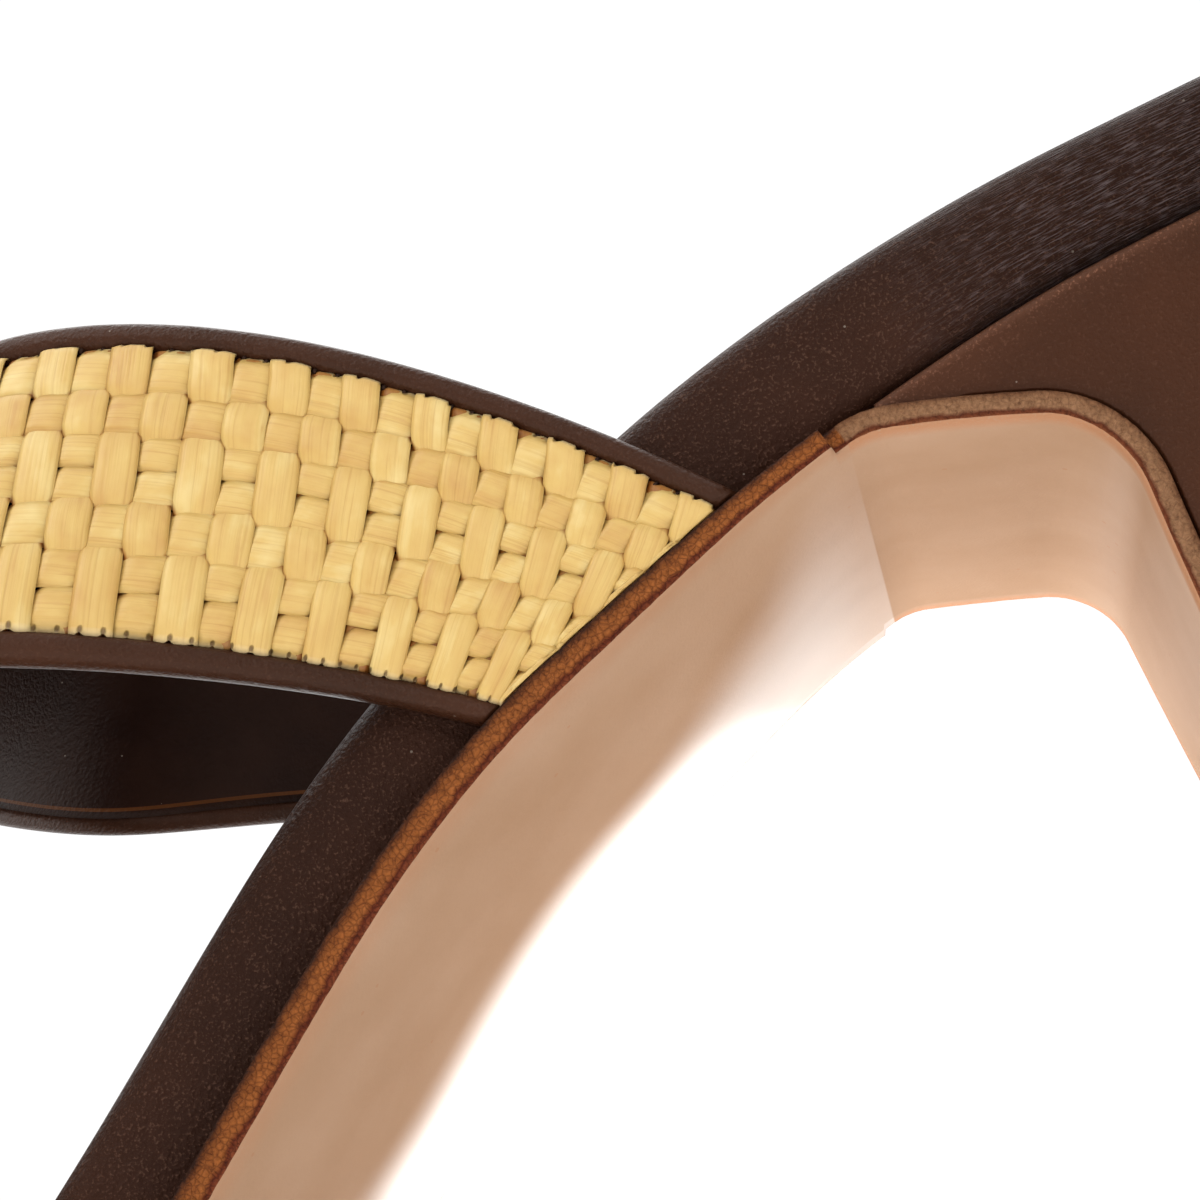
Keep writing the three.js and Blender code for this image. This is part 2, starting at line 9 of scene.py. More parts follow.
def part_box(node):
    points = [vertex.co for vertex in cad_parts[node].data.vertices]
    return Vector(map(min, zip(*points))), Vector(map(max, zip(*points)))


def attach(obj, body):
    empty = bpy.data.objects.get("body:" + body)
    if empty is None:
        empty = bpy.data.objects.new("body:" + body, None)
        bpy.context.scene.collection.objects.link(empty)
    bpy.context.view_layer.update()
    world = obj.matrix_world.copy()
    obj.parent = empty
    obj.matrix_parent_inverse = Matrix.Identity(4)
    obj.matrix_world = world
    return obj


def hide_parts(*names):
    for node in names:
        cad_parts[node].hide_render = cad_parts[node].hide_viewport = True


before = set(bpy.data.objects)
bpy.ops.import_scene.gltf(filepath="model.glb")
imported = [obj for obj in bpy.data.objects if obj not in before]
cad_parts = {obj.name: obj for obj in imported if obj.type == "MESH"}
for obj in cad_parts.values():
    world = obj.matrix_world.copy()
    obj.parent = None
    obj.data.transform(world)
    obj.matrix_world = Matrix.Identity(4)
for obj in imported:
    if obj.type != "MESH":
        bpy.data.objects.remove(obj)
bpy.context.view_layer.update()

# The sole is worked out flat, in millimetres, as (along, across, height), and bent on the side
# profile. The finished meshes are in metres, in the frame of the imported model.
MM = 0.001

SOLE_LENGTH = 248.0
HALF_BALL = 38.8
HEEL_ROUND = 26.0
TOE_ROUND = 46.0
TOE_FULLNESS = 2.2
GAP = 0.3
SEAT_THICKNESS = 9.6
FOOTBED_BULGE = 0.5
SOCK_THICKNESS = 1.0
SOCK_INSET = 2.6
OUTSOLE_THICKNESS = 2.3
OUTSOLE_OVERHANG = 2.7
FLAP_THICKNESS = 1.7
SKIVE_RUN = 30.0
WAIST_CAMBER = 3.2
SEAT_DISH = 1.4
TOE_SWING = 9.0
CORNER_ALONG = 0.306 * SOLE_LENGTH
CORNER_BEND = 4.0
FLAP_DROP_SLOPE = -8.0
FLAP_RUN = 9.5
FLAP_RADIUS = 8.4
BREAST_SLOPE = -82.0
BREAST_END_SLOPE = -77.0
HEEL_GROW = 0.6
HEEL_TIP = 3.2
HEEL_BOTTOM_WIDTH = 36.0
HEEL_BACK_LEAN = 15.0
TOP_PIECE_HEIGHT = 6.0
STRAP_STANDOFF = 2.7
WEAVE_SHARE = 0.82
PIPING_SHARE = 0.918
PIPING_HALF_SHARE = 0.082
PIPING_HALF_THICKNESS = 1.2
PIPING_SINK = 0.02
PIPING_SQUARENESS = 0.85

PROFILE_STEP = 0.5
BALL_PLACE = 0.76
BOTTOM_ROUND = 1.3
TOP_ROUND = 2.5
SOCK_ROUND = 0.4
HEEL_TIP_ALONG = CORNER_ALONG - HEEL_TIP
LIFT_SHARES = (0.27, 0.38, 0.52, 0.7, 0.86, 1)
HEEL_COLUMNS = 30
FLAP_GROW = HEEL_GROW + 0.3
FLAP_HALF_PLACE = CORNER_ALONG - 4
HEEL_EDGE_END = CORNER_ALONG + 0.9
SOLE_EDGE_START = CORNER_ALONG + 1.1
WAIST_COLUMNS = 340
TOE_COLUMNS = 80
EDGE_BUMPS = 0.09
EDGE_NICKS = 0.05

SHEET_HALF = 1.2
LINING_SHARE = 0.86
LINING_DEPTH = 1.72
LINING_THICKNESS = 0.65
STRAP_LENGTH = 0.17
HALF_STRAP = 11.2
STRIP_RISE = 0.26
STRIP_CROWN = 0.2
STRIP_BASE = -0.34
STRIP_THICKNESS = 0.16
STRIP_FLAWS = 0.05
BORDER_SHARE = 0.852
BORDER_ROLL = 0.6
FRONT_FALL = 0.42
REAR_FALL = 0.6
STITCH_FALL = 0.25
STITCH_REACH = 0.16
FRONT_NOTCH = 0.02
REAR_NOTCH = 0.045
WEAVE_SKEW = 0.0095
FOOT_SKEW = 0.026
FOOT_REACH = 0.13
SPARE_COLUMNS = 3
CROSSWISE_WOBBLE = 0.07
LENGTHWISE_WOBBLE = 0.035

STITCH_PITCH = 1.5
PIT_INSET = 0.3
THREAD_GIRTH = 0.13
THREAD_DEPTH = 0.66
THREAD_ARCH = 0.12
THREAD_END = 0.845

# along, downhill slope in degrees
SLOPES = (
    (0.0, 8.5), (0.2, 11.0), (0.225, 13.2), (0.25, 16.6), (0.28, 19.2), (0.306, 21.6),
    (0.33, 24.7), (0.355, 28.0), (0.4, 28.8), (0.435, 36.0), (0.46, 40.5), (0.5, 46.0),
    (0.53, 47.4), (0.583, 47.5), (0.718, 0.0), (0.815, 0.0), (0.865, -4.0), (1.0, -11.0),
)
# along, lateral and medial half width as shares of the half ball width
WIDTHS = (
    (0.0, 0.683, 0.67), (0.1, 0.683, 0.67), (0.22, 0.67, 0.657), (0.31, 0.654, 0.644),
    (0.4, 0.678, 0.66), (0.48, 0.704, 0.676), (0.56, 0.735, 0.715), (0.64, 0.825, 0.806),
    (0.72, 0.948, 0.938), (0.78, 1.0, 0.995), (0.84, 0.98, 1.0), (0.9, 0.907, 0.96),
    (1.0, 0.773, 0.876),
)
# along, shares of the thickness, camber, dish and toe swing
SECTIONS = (
    (0.0, 0.92, 0.0, 0.4, 0.0), (0.12, 0.92, 0.0, 1.0, 0.0), (0.2, 0.93, 0.0, 0.9, 0.0),
    (0.31, 1.0, 0.0, 0.5, 0.0), (0.35, 0.99, 0.4, 0.4, 0.0),
    (0.42, 0.83, 1.0, 0.1, 0.0), (0.52, 0.8, 1.0, 0.0, 0.0), (0.7, 0.8, 0.0, -0.4, 0.12),
    (0.85, 0.8, 0.0, -0.3, 0.5), (1.0, 0.8, 0.0, 0.0, 1.0),
)
THICKNESS, CAMBER, DISH, SWING = 1, 2, 3, 4

STRAPS = {
    "instep": dict(
        base=CORNER_ALONG + 18.8, half_base=11.2, crest_forward=59.6, crest_up=19.6,
        crest_slope=60, half_crest=10.7, leave_forward=33.7, leave_in=1.1, leave_up=25.9,
        leave_forward_taper=-8.8, leave_up_taper=-12.4, crest_handle=46,
        crest_handle_taper=15.2, columns=66, rows=(46, 41, 67, 44, 73), doubled=(2, 4),
        foot_gather=1.8, crest_gather=0.4,
    ),
    "toe": dict(
        base=0.8 * SOLE_LENGTH, half_base=13.2, crest_forward=-3, crest_up=37,
        crest_slope=24, half_crest=12.6, leave_forward=-1, leave_in=-3.6, leave_up=19,
        leave_forward_taper=0, leave_up_taper=-1, crest_handle=35,
        crest_handle_taper=-1, columns=44, rows=(52, 41, 67, 44, 60, 50), doubled=(2, 4),
        foot_gather=0.0, crest_gather=0.5,
    ),
}


def mix(a, b, t):
    return a + (b - a) * t


def clamp(value, low, high):
    return min(max(value, low), high)


def read(rows, column, at):
    """Smooth reading of one column of a table whose first column is the place along the sole."""
    last = len(rows) - 1
    at = clamp(at, rows[0][0], rows[last][0])
    i = 0
    while i < last - 1 and at > rows[i + 1][0]:
        i += 1
    here, after = rows[i], rows[i + 1]
    span = after[0] - here[0]
    t = (at - here[0]) / span
    rise = (after[column] - here[column]) / span
    before_rise = after_rise = rise
    if i > 0:
        before_rise = (here[column] - rows[i - 1][column]) / (here[0] - rows[i - 1][0])
    if i + 2 <= last:
        after_rise = (rows[i + 2][column] - after[column]) / (rows[i + 2][0] - after[0])
    start = 2 * before_rise * rise / (before_rise + rise) if before_rise * rise > 0 else 0
    end = 2 * after_rise * rise / (after_rise + rise) if after_rise * rise > 0 else 0
    value = (2 * t**3 - 3 * t * t + 1) * here[column] + (3 * t * t - 2 * t**3) * after[column]
    return value + span * ((t**3 - 2 * t * t + t) * start + (t**3 - t * t) * end)


def side_profile():
    count = round(SOLE_LENGTH / PROFILE_STEP)
    points = [(0.0, 0.0)]
    for i in range(1, count + 1):
        slope = math.radians(read(SLOPES, 1, (i - 0.5) / count))
        x, z = points[-1]
        points.append((x + PROFILE_STEP * math.cos(slope), z - PROFILE_STEP * math.sin(slope)))
    flat = points[round(BALL_PLACE * count)][1]
    return [(x, z - flat + OUTSOLE_THICKNESS + GAP) for x, z in points]


PROFILE = side_profile()
TURNS = [
    math.radians(read(SLOPES, 1, i * PROFILE_STEP / SOLE_LENGTH)) for i in range(len(PROFILE))
]


def sole_frame(along):
    inside = clamp(along, 0, SOLE_LENGTH)
    cell = int(clamp(inside // PROFILE_STEP, 0, len(PROFILE) - 2))
    t = inside / PROFILE_STEP - cell
    slope = mix(TURNS[cell], TURNS[cell + 1], t)
    beyond = along - inside
    x = mix(PROFILE[cell][0], PROFILE[cell + 1][0], t) + beyond * math.cos(slope)
    z = mix(PROFILE[cell][1], PROFILE[cell + 1][1], t) - beyond * math.sin(slope)
    return x, z, slope


def bend(along, across, height):
    x, z, slope = sole_frame(along)
    swing = TOE_SWING * read(SECTIONS, SWING, along / SOLE_LENGTH)
    return Vector((x + height * math.sin(slope), across - swing, z + height * math.cos(slope)))


def half_width(along, side, grow):
    body = HALF_BALL * read(WIDTHS, 1 if side > 0 else 2, along / SOLE_LENGTH) + grow
    from_heel = clamp((HEEL_ROUND - along) / (HEEL_ROUND + grow), 0, 1)
    from_toe = clamp((along - SOLE_LENGTH + TOE_ROUND) / (TOE_ROUND + grow), 0, 1)
    toe = max(1 - from_toe**TOE_FULLNESS, 0) ** (1 / TOE_FULLNESS)
    return body * math.sqrt(max(1 - from_heel**2, 0)) * toe


def edge_share(along, across, grow):
    half = max(half_width(along, across, grow), 1)
    return clamp(abs(across) / half, 0, 1)


def camber_at(along, across, grow):
    share = edge_share(along, across, grow)
    return WAIST_CAMBER * read(SECTIONS, CAMBER, along / SOLE_LENGTH) * (1 - share**2)


def outsole_thickness(along):
    share = clamp((along - CORNER_ALONG) / SKIVE_RUN, 0, 1)
    return mix(FLAP_THICKNESS, OUTSOLE_THICKNESS, share * share * (3 - 2 * share))


def thickness_at(along):
    return SEAT_THICKNESS * read(SECTIONS, THICKNESS, along / SOLE_LENGTH)


def dish_at(along, across):
    share = edge_share(along, across, 0)
    return SEAT_DISH * read(SECTIONS, DISH, along / SOLE_LENGTH) * (1 - share**2)


def flap_path(fine):
    """Path of the sole leather from the heel corner down the heel breast."""
    x, z, slope = sole_frame(CORNER_ALONG)
    x -= GAP * math.sin(slope)
    z -= GAP * math.cos(slope)
    path = [(x, z, slope)]
    end_dip = FLAP_THICKNESS * math.cos(math.radians(BREAST_END_SLOPE))
    legs = [
        (CORNER_BEND, FLAP_DROP_SLOPE, 3),
        (FLAP_RUN, FLAP_DROP_SLOPE - 4, 3),
        (FLAP_RADIUS * math.radians(FLAP_DROP_SLOPE - BREAST_SLOPE), BREAST_SLOPE, 7),
        (None, BREAST_END_SLOPE, 5),
    ]
    turn = math.degrees(slope)
    for length, end, steps in legs:
        if length is None:
            fall = math.sin(math.radians(-0.5 * (BREAST_SLOPE + BREAST_END_SLOPE)))
            length = (z - TOP_PIECE_HEIGHT - GAP - end_dip) / fall
        steps *= fine
        for i in range(steps):
            angle = math.radians(mix(turn, end, (i + 0.5) / steps))
            x -= length / steps * math.cos(angle)
            z += length / steps * math.sin(angle)
            path.append((x, z, math.radians(mix(turn, end, (i + 1) / steps))))
        turn = end
    return path


def heel_width_share(down):
    bottom = HEEL_BOTTOM_WIDTH / 2 / (HALF_BALL * WIDTHS[0][1] + HEEL_GROW)
    return mix(1, bottom, 1 - (1 - clamp(down, 0, 1)) ** 1.8)


def heel_back(down):
    return -HEEL_GROW + HEEL_BACK_LEAN * (1 - (1 - clamp(down, 0, 1)) ** 1.6)


def heel_lift_corner():
    """Back corner and outer side of the heel's top piece, before the model stood at its origin."""
    back = bend(-HEEL_GROW, 0, -GAP).x + heel_back(1) + HEEL_GROW
    places = [mix(-HEEL_GROW, HEEL_TIP_ALONG, share) for share in LIFT_SHARES]
    side = max(half_width(along, 1, HEEL_GROW) for along in places) * heel_width_share(1)
    return back, side


lift_low, lift_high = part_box("heel_top_piece")
back_x, side_y = heel_lift_corner()
SHIFT = Vector((lift_low[0] / MM - back_x, lift_high[1] / MM - side_y, 0.0))


def placed(point):
    return (point + SHIFT) * MM


def stand(name, data):
    """Object with this data, put into the scene."""
    made = bpy.data.objects.new(name, data)
    bpy.context.scene.collection.objects.link(made)
    return made


def sheet(bm, columns, rows, place, uv, marks=None):
    """Faces of a grid whose corners place(u, v) puts in millimetres.

    uv gives the pattern coordinates, and marks names the values that the materials read.
    """
    pattern = bm.loops.layers.uv.verify()
    floats = bm.verts.layers.float
    marks = {
        floats.get(name) or floats.new(name): value for name, value in (marks or {}).items()
    }
    made = bmesh.ops.create_grid(bm, x_segments=columns, y_segments=rows, size=0.5)["verts"]
    flat = {vert: (vert.co.x + 0.5, vert.co.y + 0.5) for vert in made}
    faces = [face for vert in made for face in vert.link_faces if face.loops[0].vert is vert]
    for face in faces:
        for loop in face.loops:
            loop[pattern].uv = uv(*flat[loop.vert])
    for vert in made:
        u, v = flat[vert]
        vert.co = placed(Vector(place(u, v)))
        for layer, value in marks.items():
            vert[layer] = value(u, v)
    return faces


def finished(name, bm, materials, nodes, closed=True):
    """Mesh object from a bmesh, riding on the shoe and standing for its CAD nodes."""
    if closed:
        bmesh.ops.remove_doubles(bm, verts=bm.verts, dist=0.004 * MM)
        bmesh.ops.holes_fill(bm, edges=bm.edges, sides=0)
        bmesh.ops.recalc_face_normals(bm, faces=bm.faces)
    mesh = bpy.data.meshes.new(name)
    bm.to_mesh(mesh)
    bm.free()
    piece = stand(name, mesh)
    for polygon in mesh.polygons:
        polygon.use_smooth = True
    for material in materials:
        mesh.materials.append(material)
    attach(piece, "root")
    if nodes:
        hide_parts(*nodes)
    return piece


def thicken(piece, label, thickness):
    """Give an open sheet its thickness, inward."""
    wall = piece.modifiers.new(label, "SOLIDIFY")
    wall.thickness = thickness * MM
    wall.offset = -1


def feed(tree, inputs, values):
    """Link the sockets among the values, and set the rest, on the inputs of a node."""
    for key, value in values.items():
        if isinstance(value, bpy.types.NodeSocket):
            tree.links.new(value, inputs[key])
        else:
            inputs[key].default_value = value


def node(tree, kind, values=None, **settings):
    made = tree.nodes.new("ShaderNode" + kind)
    for key, value in settings.items():
        setattr(made, key, value)
    feed(tree, made.inputs, values or {})
    return made


def sums(tree, operation, a, b=0.5, c=0.5, clamped=False):
    made = node(tree, "Math", {0: a, 1: b, 2: c}, operation=operation, use_clamp=clamped)
    return made.outputs[0]


def ramp(tree, factor, stops):
    made = node(tree, "ValToRGB", {"Fac": factor})
    elements = made.color_ramp.elements
    while len(elements) < len(stops):
        elements.new(0.5)
    for element, (position, shade) in zip(elements, stops):
        element.position = position
        element.color = linear(*shade)
    return made.outputs["Color"]


def linear(red, green, blue):
    """Screen colour, 0 to 255, as the renderer's own light values."""
    values = []
    for channel in (red, green, blue):
        share = channel / 255
        values.append(share / 12.92 if share <= 0.04045 else ((share + 0.055) / 1.055) ** 2.4)
    return (*values, 1.0)


def blend(tree, factor, first, second, kind="MIX"):
    made = node(
        tree, "Mix", {0: factor, 6: first, 7: second}, data_type="RGBA", blend_type=kind
    )
    return made.outputs[2]


def tint(tree, colour, where, amount, shade):
    """The colour, turned toward a screen shade by an amount of a mask."""
    return blend(tree, sums(tree, "MULTIPLY", where, amount), colour, linear(*shade))


def fade(tree, value, low, high, start=0.0, end=1.0, kind="SMOOTHSTEP"):
    """From start to end while the value goes from low to high."""
    made = node(tree, "MapRange", {
        "Value": value, "From Min": low, "From Max": high, "To Min": start, "To Max": end,
    }, interpolation_type=kind)
    return made.outputs["Result"]


def mark(tree, name):
    return node(tree, "Attribute", attribute_name=name).outputs["Fac"]


def object_place(tree):
    return node(tree, "TexCoord").outputs["Object"]


def pattern_place(tree):
    return node(tree, "SeparateXYZ", {"Vector": node(tree, "UVMap").outputs["UV"]}).outputs


def group(name, inputs, outputs):
    tree = bpy.data.node_groups.new(name, "ShaderNodeTree")
    for label, value in inputs:
        socket = tree.interface.new_socket(label, in_out="INPUT", socket_type="NodeSocketFloat")
        socket.default_value = value
    for label, kind in outputs:
        tree.interface.new_socket(label, in_out="OUTPUT", socket_type="NodeSocket" + kind)
    return tree, tree.nodes.new("NodeGroupInput").outputs, tree.nodes.new("NodeGroupOutput").inputs


def grain_group():
    """Leather grain: small pebbles with pores between them and broad mottling."""
    tree, given, out = group(
        "leather_grain",
        [("Pebbles", 2200.0), ("Depth", 0.00006)],
        [("Normal", "Vector"), ("Mottle", "Float"), ("Flecks", "Float")],
    )
    place = object_place(tree)
    wander = node(tree, "TexNoise", {"Vector": place, "Scale": 900.0, "Detail": 3.0})
    bent = node(
        tree, "Mix", {0: 0.0006, 4: place, 5: wander.outputs["Color"]}, data_type="VECTOR"
    )
    cells = node(tree, "TexVoronoi", {
        "Vector": bent.outputs[1], "Scale": given["Pebbles"], "Smoothness": 0.5,
    }, feature="SMOOTH_F1")
    fine = node(tree, "TexNoise", {"Vector": place, "Scale": 5200.0, "Detail": 4.0})
    relief = sums(tree, "MULTIPLY_ADD", cells.outputs["Distance"], -0.8, fine.outputs["Fac"])
    bump = node(tree, "Bump", {"Strength": 1.0, "Distance": given["Depth"], "Height": relief})
    broad = node(tree, "TexNoise", {"Vector": place, "Scale": 90.0, "Detail": 5.0})
    feed(tree, out, {
        "Normal": bump.outputs["Normal"],
        "Mottle": broad.outputs["Fac"],
        "Flecks": fade(tree, fine.outputs["Fac"], 0.55, 0.7, kind="LINEAR"),
    })
    return tree


def streak_group():
    """Long thin fibres that follow a strip: U runs along them and V across."""
    tree, given, out = group(
        "fibre_streaks",
        [("Along", 120.0), ("Across", 4200.0), ("Seed", 0.0)],
        [("Fibres", "Float"), ("Bands", "Float")],
    )
    pattern = pattern_place(tree)
    along = sums(tree, "MULTIPLY", pattern["X"], given["Along"])
    across = sums(tree, "MULTIPLY", pattern["Y"], given["Across"])
    shifted = sums(tree, "MULTIPLY", given["Seed"], 91.7)
    place = node(tree, "CombineXYZ", {"X": along, "Y": across, "Z": shifted})
    fine = node(tree, "TexNoise", {"Vector": place.outputs[0], "Scale": 1.0, "Detail": 3.0})
    slow = sums(tree, "MULTIPLY", across, 0.22)
    wide = node(tree, "CombineXYZ", {"X": along, "Y": slow, "Z": shifted})
    bands = node(tree, "TexNoise", {"Vector": wide.outputs[0], "Scale": 1.0, "Detail": 2.0})
    feed(tree, out, {"Fibres": fine.outputs["Fac"], "Bands": bands.outputs["Fac"]})
    return tree


def speck_group():
    """Scattered specks of dust or colour."""
    tree, given, out = group(
        "specks", [("Spacing", 400.0), ("Size", 0.05)], [("Specks", "Float")]
    )
    cells = node(tree, "TexVoronoi", {
        "Vector": object_place(tree), "Scale": given["Spacing"],
    }, feature="F1")
    small = sums(tree, "LESS_THAN", cells.outputs["Distance"], given["Size"])
    feed(tree, out, {"Specks": small})
    return tree


def use(tree, shared, **values):
    """Outputs of a shared group, with these inputs."""
    made = tree.nodes.new("ShaderNodeGroup")
    made.node_tree = shared
    feed(tree, made.inputs, values)
    return made.outputs


def surface(name):
    """New material: its tree and the sockets of its shader."""
    made = bpy.data.materials.new(name)
    made.use_nodes = True
    tree = made.node_tree
    return made, tree, tree.nodes["Principled BSDF"].inputs


GRAIN = grain_group()
STREAKS = streak_group()
SPECKS = speck_group()

# screen shades, 0 to 255
# painted highlight for the heel cover's rolled top rim
RIM_HIGHLIGHT = (132, 88, 66)
DUST = (190, 176, 160)
# pale grain flecks: dust, and painted glints of the grain
GRAIN_DUST_AND_GLINT = (150, 112, 92)
CREASE_SHEEN = (112, 98, 98)
GROOVE = (80, 46, 22)
STRAW_SPLIT = (160, 104, 50)
# painted highlight on the strip tips at the border
STRAW_TIP_HIGHLIGHT = (228, 210, 172)
STRAW_SHADE = (186, 132, 78)
# stitch holes: dark thread colour with painted shade
STITCH_PIT_SHADE = (84, 56, 30)
FRECKLE = (150, 100, 70)
SOLE_RIM = (168, 104, 62)

# place, screen shade
STRAW_TONES = (
    (0.0, (178, 135, 74)), (0.35, (189, 153, 86)), (0.65, (196, 164, 96)),
    (1.0, (208, 186, 126)),
)
STRAW_FIBRES = ((0.3, (214, 190, 156)), (0.46, (250, 246, 238)), (0.8, (255, 255, 255)))
STRAW_SPLITS = ((0.3, (255, 255, 255)), (0.34, (0, 0, 0)))
STAINED_EDGE = (
    (0.0, (60, 34, 20)), (0.12, (100, 56, 28)), (0.32, (146, 86, 42)), (0.6, (158, 95, 48)),
    (0.76, (96, 40, 20)), (0.88, (124, 64, 40)),
)
PLAIN_EDGE = (
    (0.0, (112, 74, 50)), (0.3, (146, 108, 80)), (0.64, (150, 112, 84)), (0.78, (98, 48, 28)),
    (0.95, (132, 76, 48)),
)
EDGE_FIBRES = ((0.3, (128, 104, 80)), (0.46, (220, 212, 200)), (0.64, (255, 252, 244)))
EDGE_CRACKS = ((0.0, (128, 104, 84)), (0.09, (236, 226, 212)), (0.2, (255, 250, 240)))


def leather(
    name, dark, light, pebbles, depth, gloss,
    creases=None, edge_line=None, fleck_dust_and_glint=0.05, shine=0.06,
):
    """Grained leather; creases is (along, across, depth, from x, to x) of the lines along it."""
    made, tree, shader = surface(name)
    grain = use(tree, GRAIN, Pebbles=pebbles, Depth=depth)
    mottle = sums(tree, "MULTIPLY_ADD", grain["Mottle"], 2.4, -0.7, clamped=True)
    colour = blend(tree, mottle, linear(*dark), linear(*light))
    # painted highlight: lighter leather on the rows that the heel cover marks along its rolled top
    # rim
    rim_highlight = sums(tree, "MULTIPLY", mark(tree, "rim_highlight"), sums(tree, "ADD", grain["Flecks"], 0.3))
    colour = tint(tree, colour, rim_highlight, 0.6, RIM_HIGHLIGHT)
    specks = use(tree, SPECKS, Spacing=420.0, Size=0.035)
    colour = tint(tree, colour, specks["Specks"], 0.25, DUST)
    # pale flecks on the grain: partly dust, partly painted glints in place of the grain's tiny
    # highlights
    colour = tint(tree, colour, grain["Flecks"], fleck_dust_and_glint, GRAIN_DUST_AND_GLINT)
    normal = grain["Normal"]
    if creases:
        lines = use(tree, STREAKS, Along=creases[0], Across=creases[1], Seed=3.0)
        place = node(tree, "SeparateXYZ", {"Vector": object_place(tree)}).outputs
        reach = fade(tree, place["X"], creases[3], creases[4])
        relief = sums(tree, "MULTIPLY", lines["Fibres"], reach)
        normal = node(tree, "Bump", {
            "Strength": 1.0, "Distance": creases[2], "Height": relief, "Normal": normal,
        }).outputs["Normal"]
        # painted sheen: crease ridges turned lighter and greyer, in bands, in place of highlights
        # on the wrinkles
        ridges = fade(tree, lines["Fibres"], 0.48, 0.66, kind="LINEAR")
        crease_ridge_sheen = sums(tree, "MULTIPLY", ridges, reach)
        colour = tint(tree, colour, crease_ridge_sheen, lines["Bands"], CREASE_SHEEN)
    if edge_line:
        off = sums(tree, "SUBTRACT", sums(tree, "ABSOLUTE", pattern_place(tree)["Y"]), edge_line)
        line = sums(tree, "LESS_THAN", sums(tree, "ABSOLUTE", off), 0.012)
        colour = blend(tree, line, colour, linear(*GROOVE))
    feed(tree, shader, {
        "Base Color": colour,
        "Roughness": sums(tree, "MULTIPLY_ADD", grain["Mottle"], 0.3, gloss - 0.15),
        "Normal": normal,
        "Specular IOR Level": shine,
        "Specular Tint": (1.0, 0.86, 0.78, 1.0),
    })
    return made


def stitch_pits(tree, phase, rim):
    """1 at the hole of each stitch beside the weave's border, 0 away from it."""
    near = sums(tree, "SUBTRACT", sums(tree, "FRACT", sums(tree, "ADD", phase, 0.5)), 0.5)
    reach = node(tree, "CombineXYZ", {
        "X": sums(tree, "MULTIPLY", near, STITCH_PITCH),
        "Y": sums(tree, "SUBTRACT", rim, PIT_INSET),
    })
    away = node(tree, "VectorMath", {0: reach.outputs[0]}, operation="LENGTH")
    return fade(tree, away.outputs["Value"], 0.06, 0.22, 1.0, 0.0)


def raffia():
    """Straw strips with their own tone, fibres and splits; painted highlight on pale tips, painted
    shade under crossings, along edges and in stitch holes.
    """
    made, tree, shader = surface("raffia")
    tone = mark(tree, "tone")
    rim = mark(tree, "rim")
    streaks = use(tree, STREAKS, Along=90.0, Across=5200.0, Seed=tone)
    splits = use(tree, STREAKS, Along=160.0, Across=1500.0, Seed=tone)
    patch = use(tree, STREAKS, Along=330.0, Across=420.0, Seed=tone)
    sway = sums(tree, "MULTIPLY_ADD", patch["Fibres"], 1.2, -0.6)
    shade = sums(tree, "ADD", sums(tree, "MULTIPLY_ADD", tone, 0.4, 0.3), sway)
    shade = sums(tree, "ADD", shade, sums(tree, "MULTIPLY_ADD", streaks["Bands"], 0.6, -0.3))
    colour = ramp(tree, shade, STRAW_TONES)
    fibre = ramp(tree, streaks["Fibres"], STRAW_FIBRES)
    colour = blend(tree, 0.4, colour, fibre, "MULTIPLY")
    colour = tint(tree, colour, ramp(tree, splits["Fibres"], STRAW_SPLITS), 0.2, STRAW_SPLIT)
    # painted highlight: the strip ends by the border turn paler
    tips = sums(tree, "MULTIPLY_ADD", rim, -2.4, 1.0, clamped=True)
    colour = tint(tree, colour, tips, 0.6, STRAW_TIP_HIGHLIGHT)
    # painted shade: the straw turned brown where the strip dives under its neighbours and along
    # its edges, by the depth mark
    low = sums(tree, "MULTIPLY_ADD", mark(tree, "depth"), 2.6, -1.3, clamped=True)
    straw_in_painted_shade = blend(tree, 1.0, colour, linear(*STRAW_SHADE), "MULTIPLY")
    colour = blend(tree, low, colour, straw_in_painted_shade)
    # stitch holes: the thread's dark colour together with painted shade in the hole
    pit = stitch_pits(tree, mark(tree, "stitch"), rim)
    colour = tint(tree, colour, pit, 0.8, STITCH_PIT_SHADE)
    relief = sums(tree, "MULTIPLY_ADD", splits["Fibres"], 0.8, streaks["Fibres"])
    bump = node(tree, "Bump", {"Strength": 0.5, "Distance": 0.00009, "Height": relief})
    pull = node(tree, "Bump", {
        "Strength": 0.8, "Distance": 0.0002, "Height": sums(tree, "MULTIPLY", pit, -1.0),
        "Normal": bump.outputs["Normal"],
    })
    feed(tree, shader, {
        "Base Color": colour, "Normal": pull.outputs["Normal"],
        "Roughness": 0.48, "Specular IOR Level": 0.4,
    })
    return made


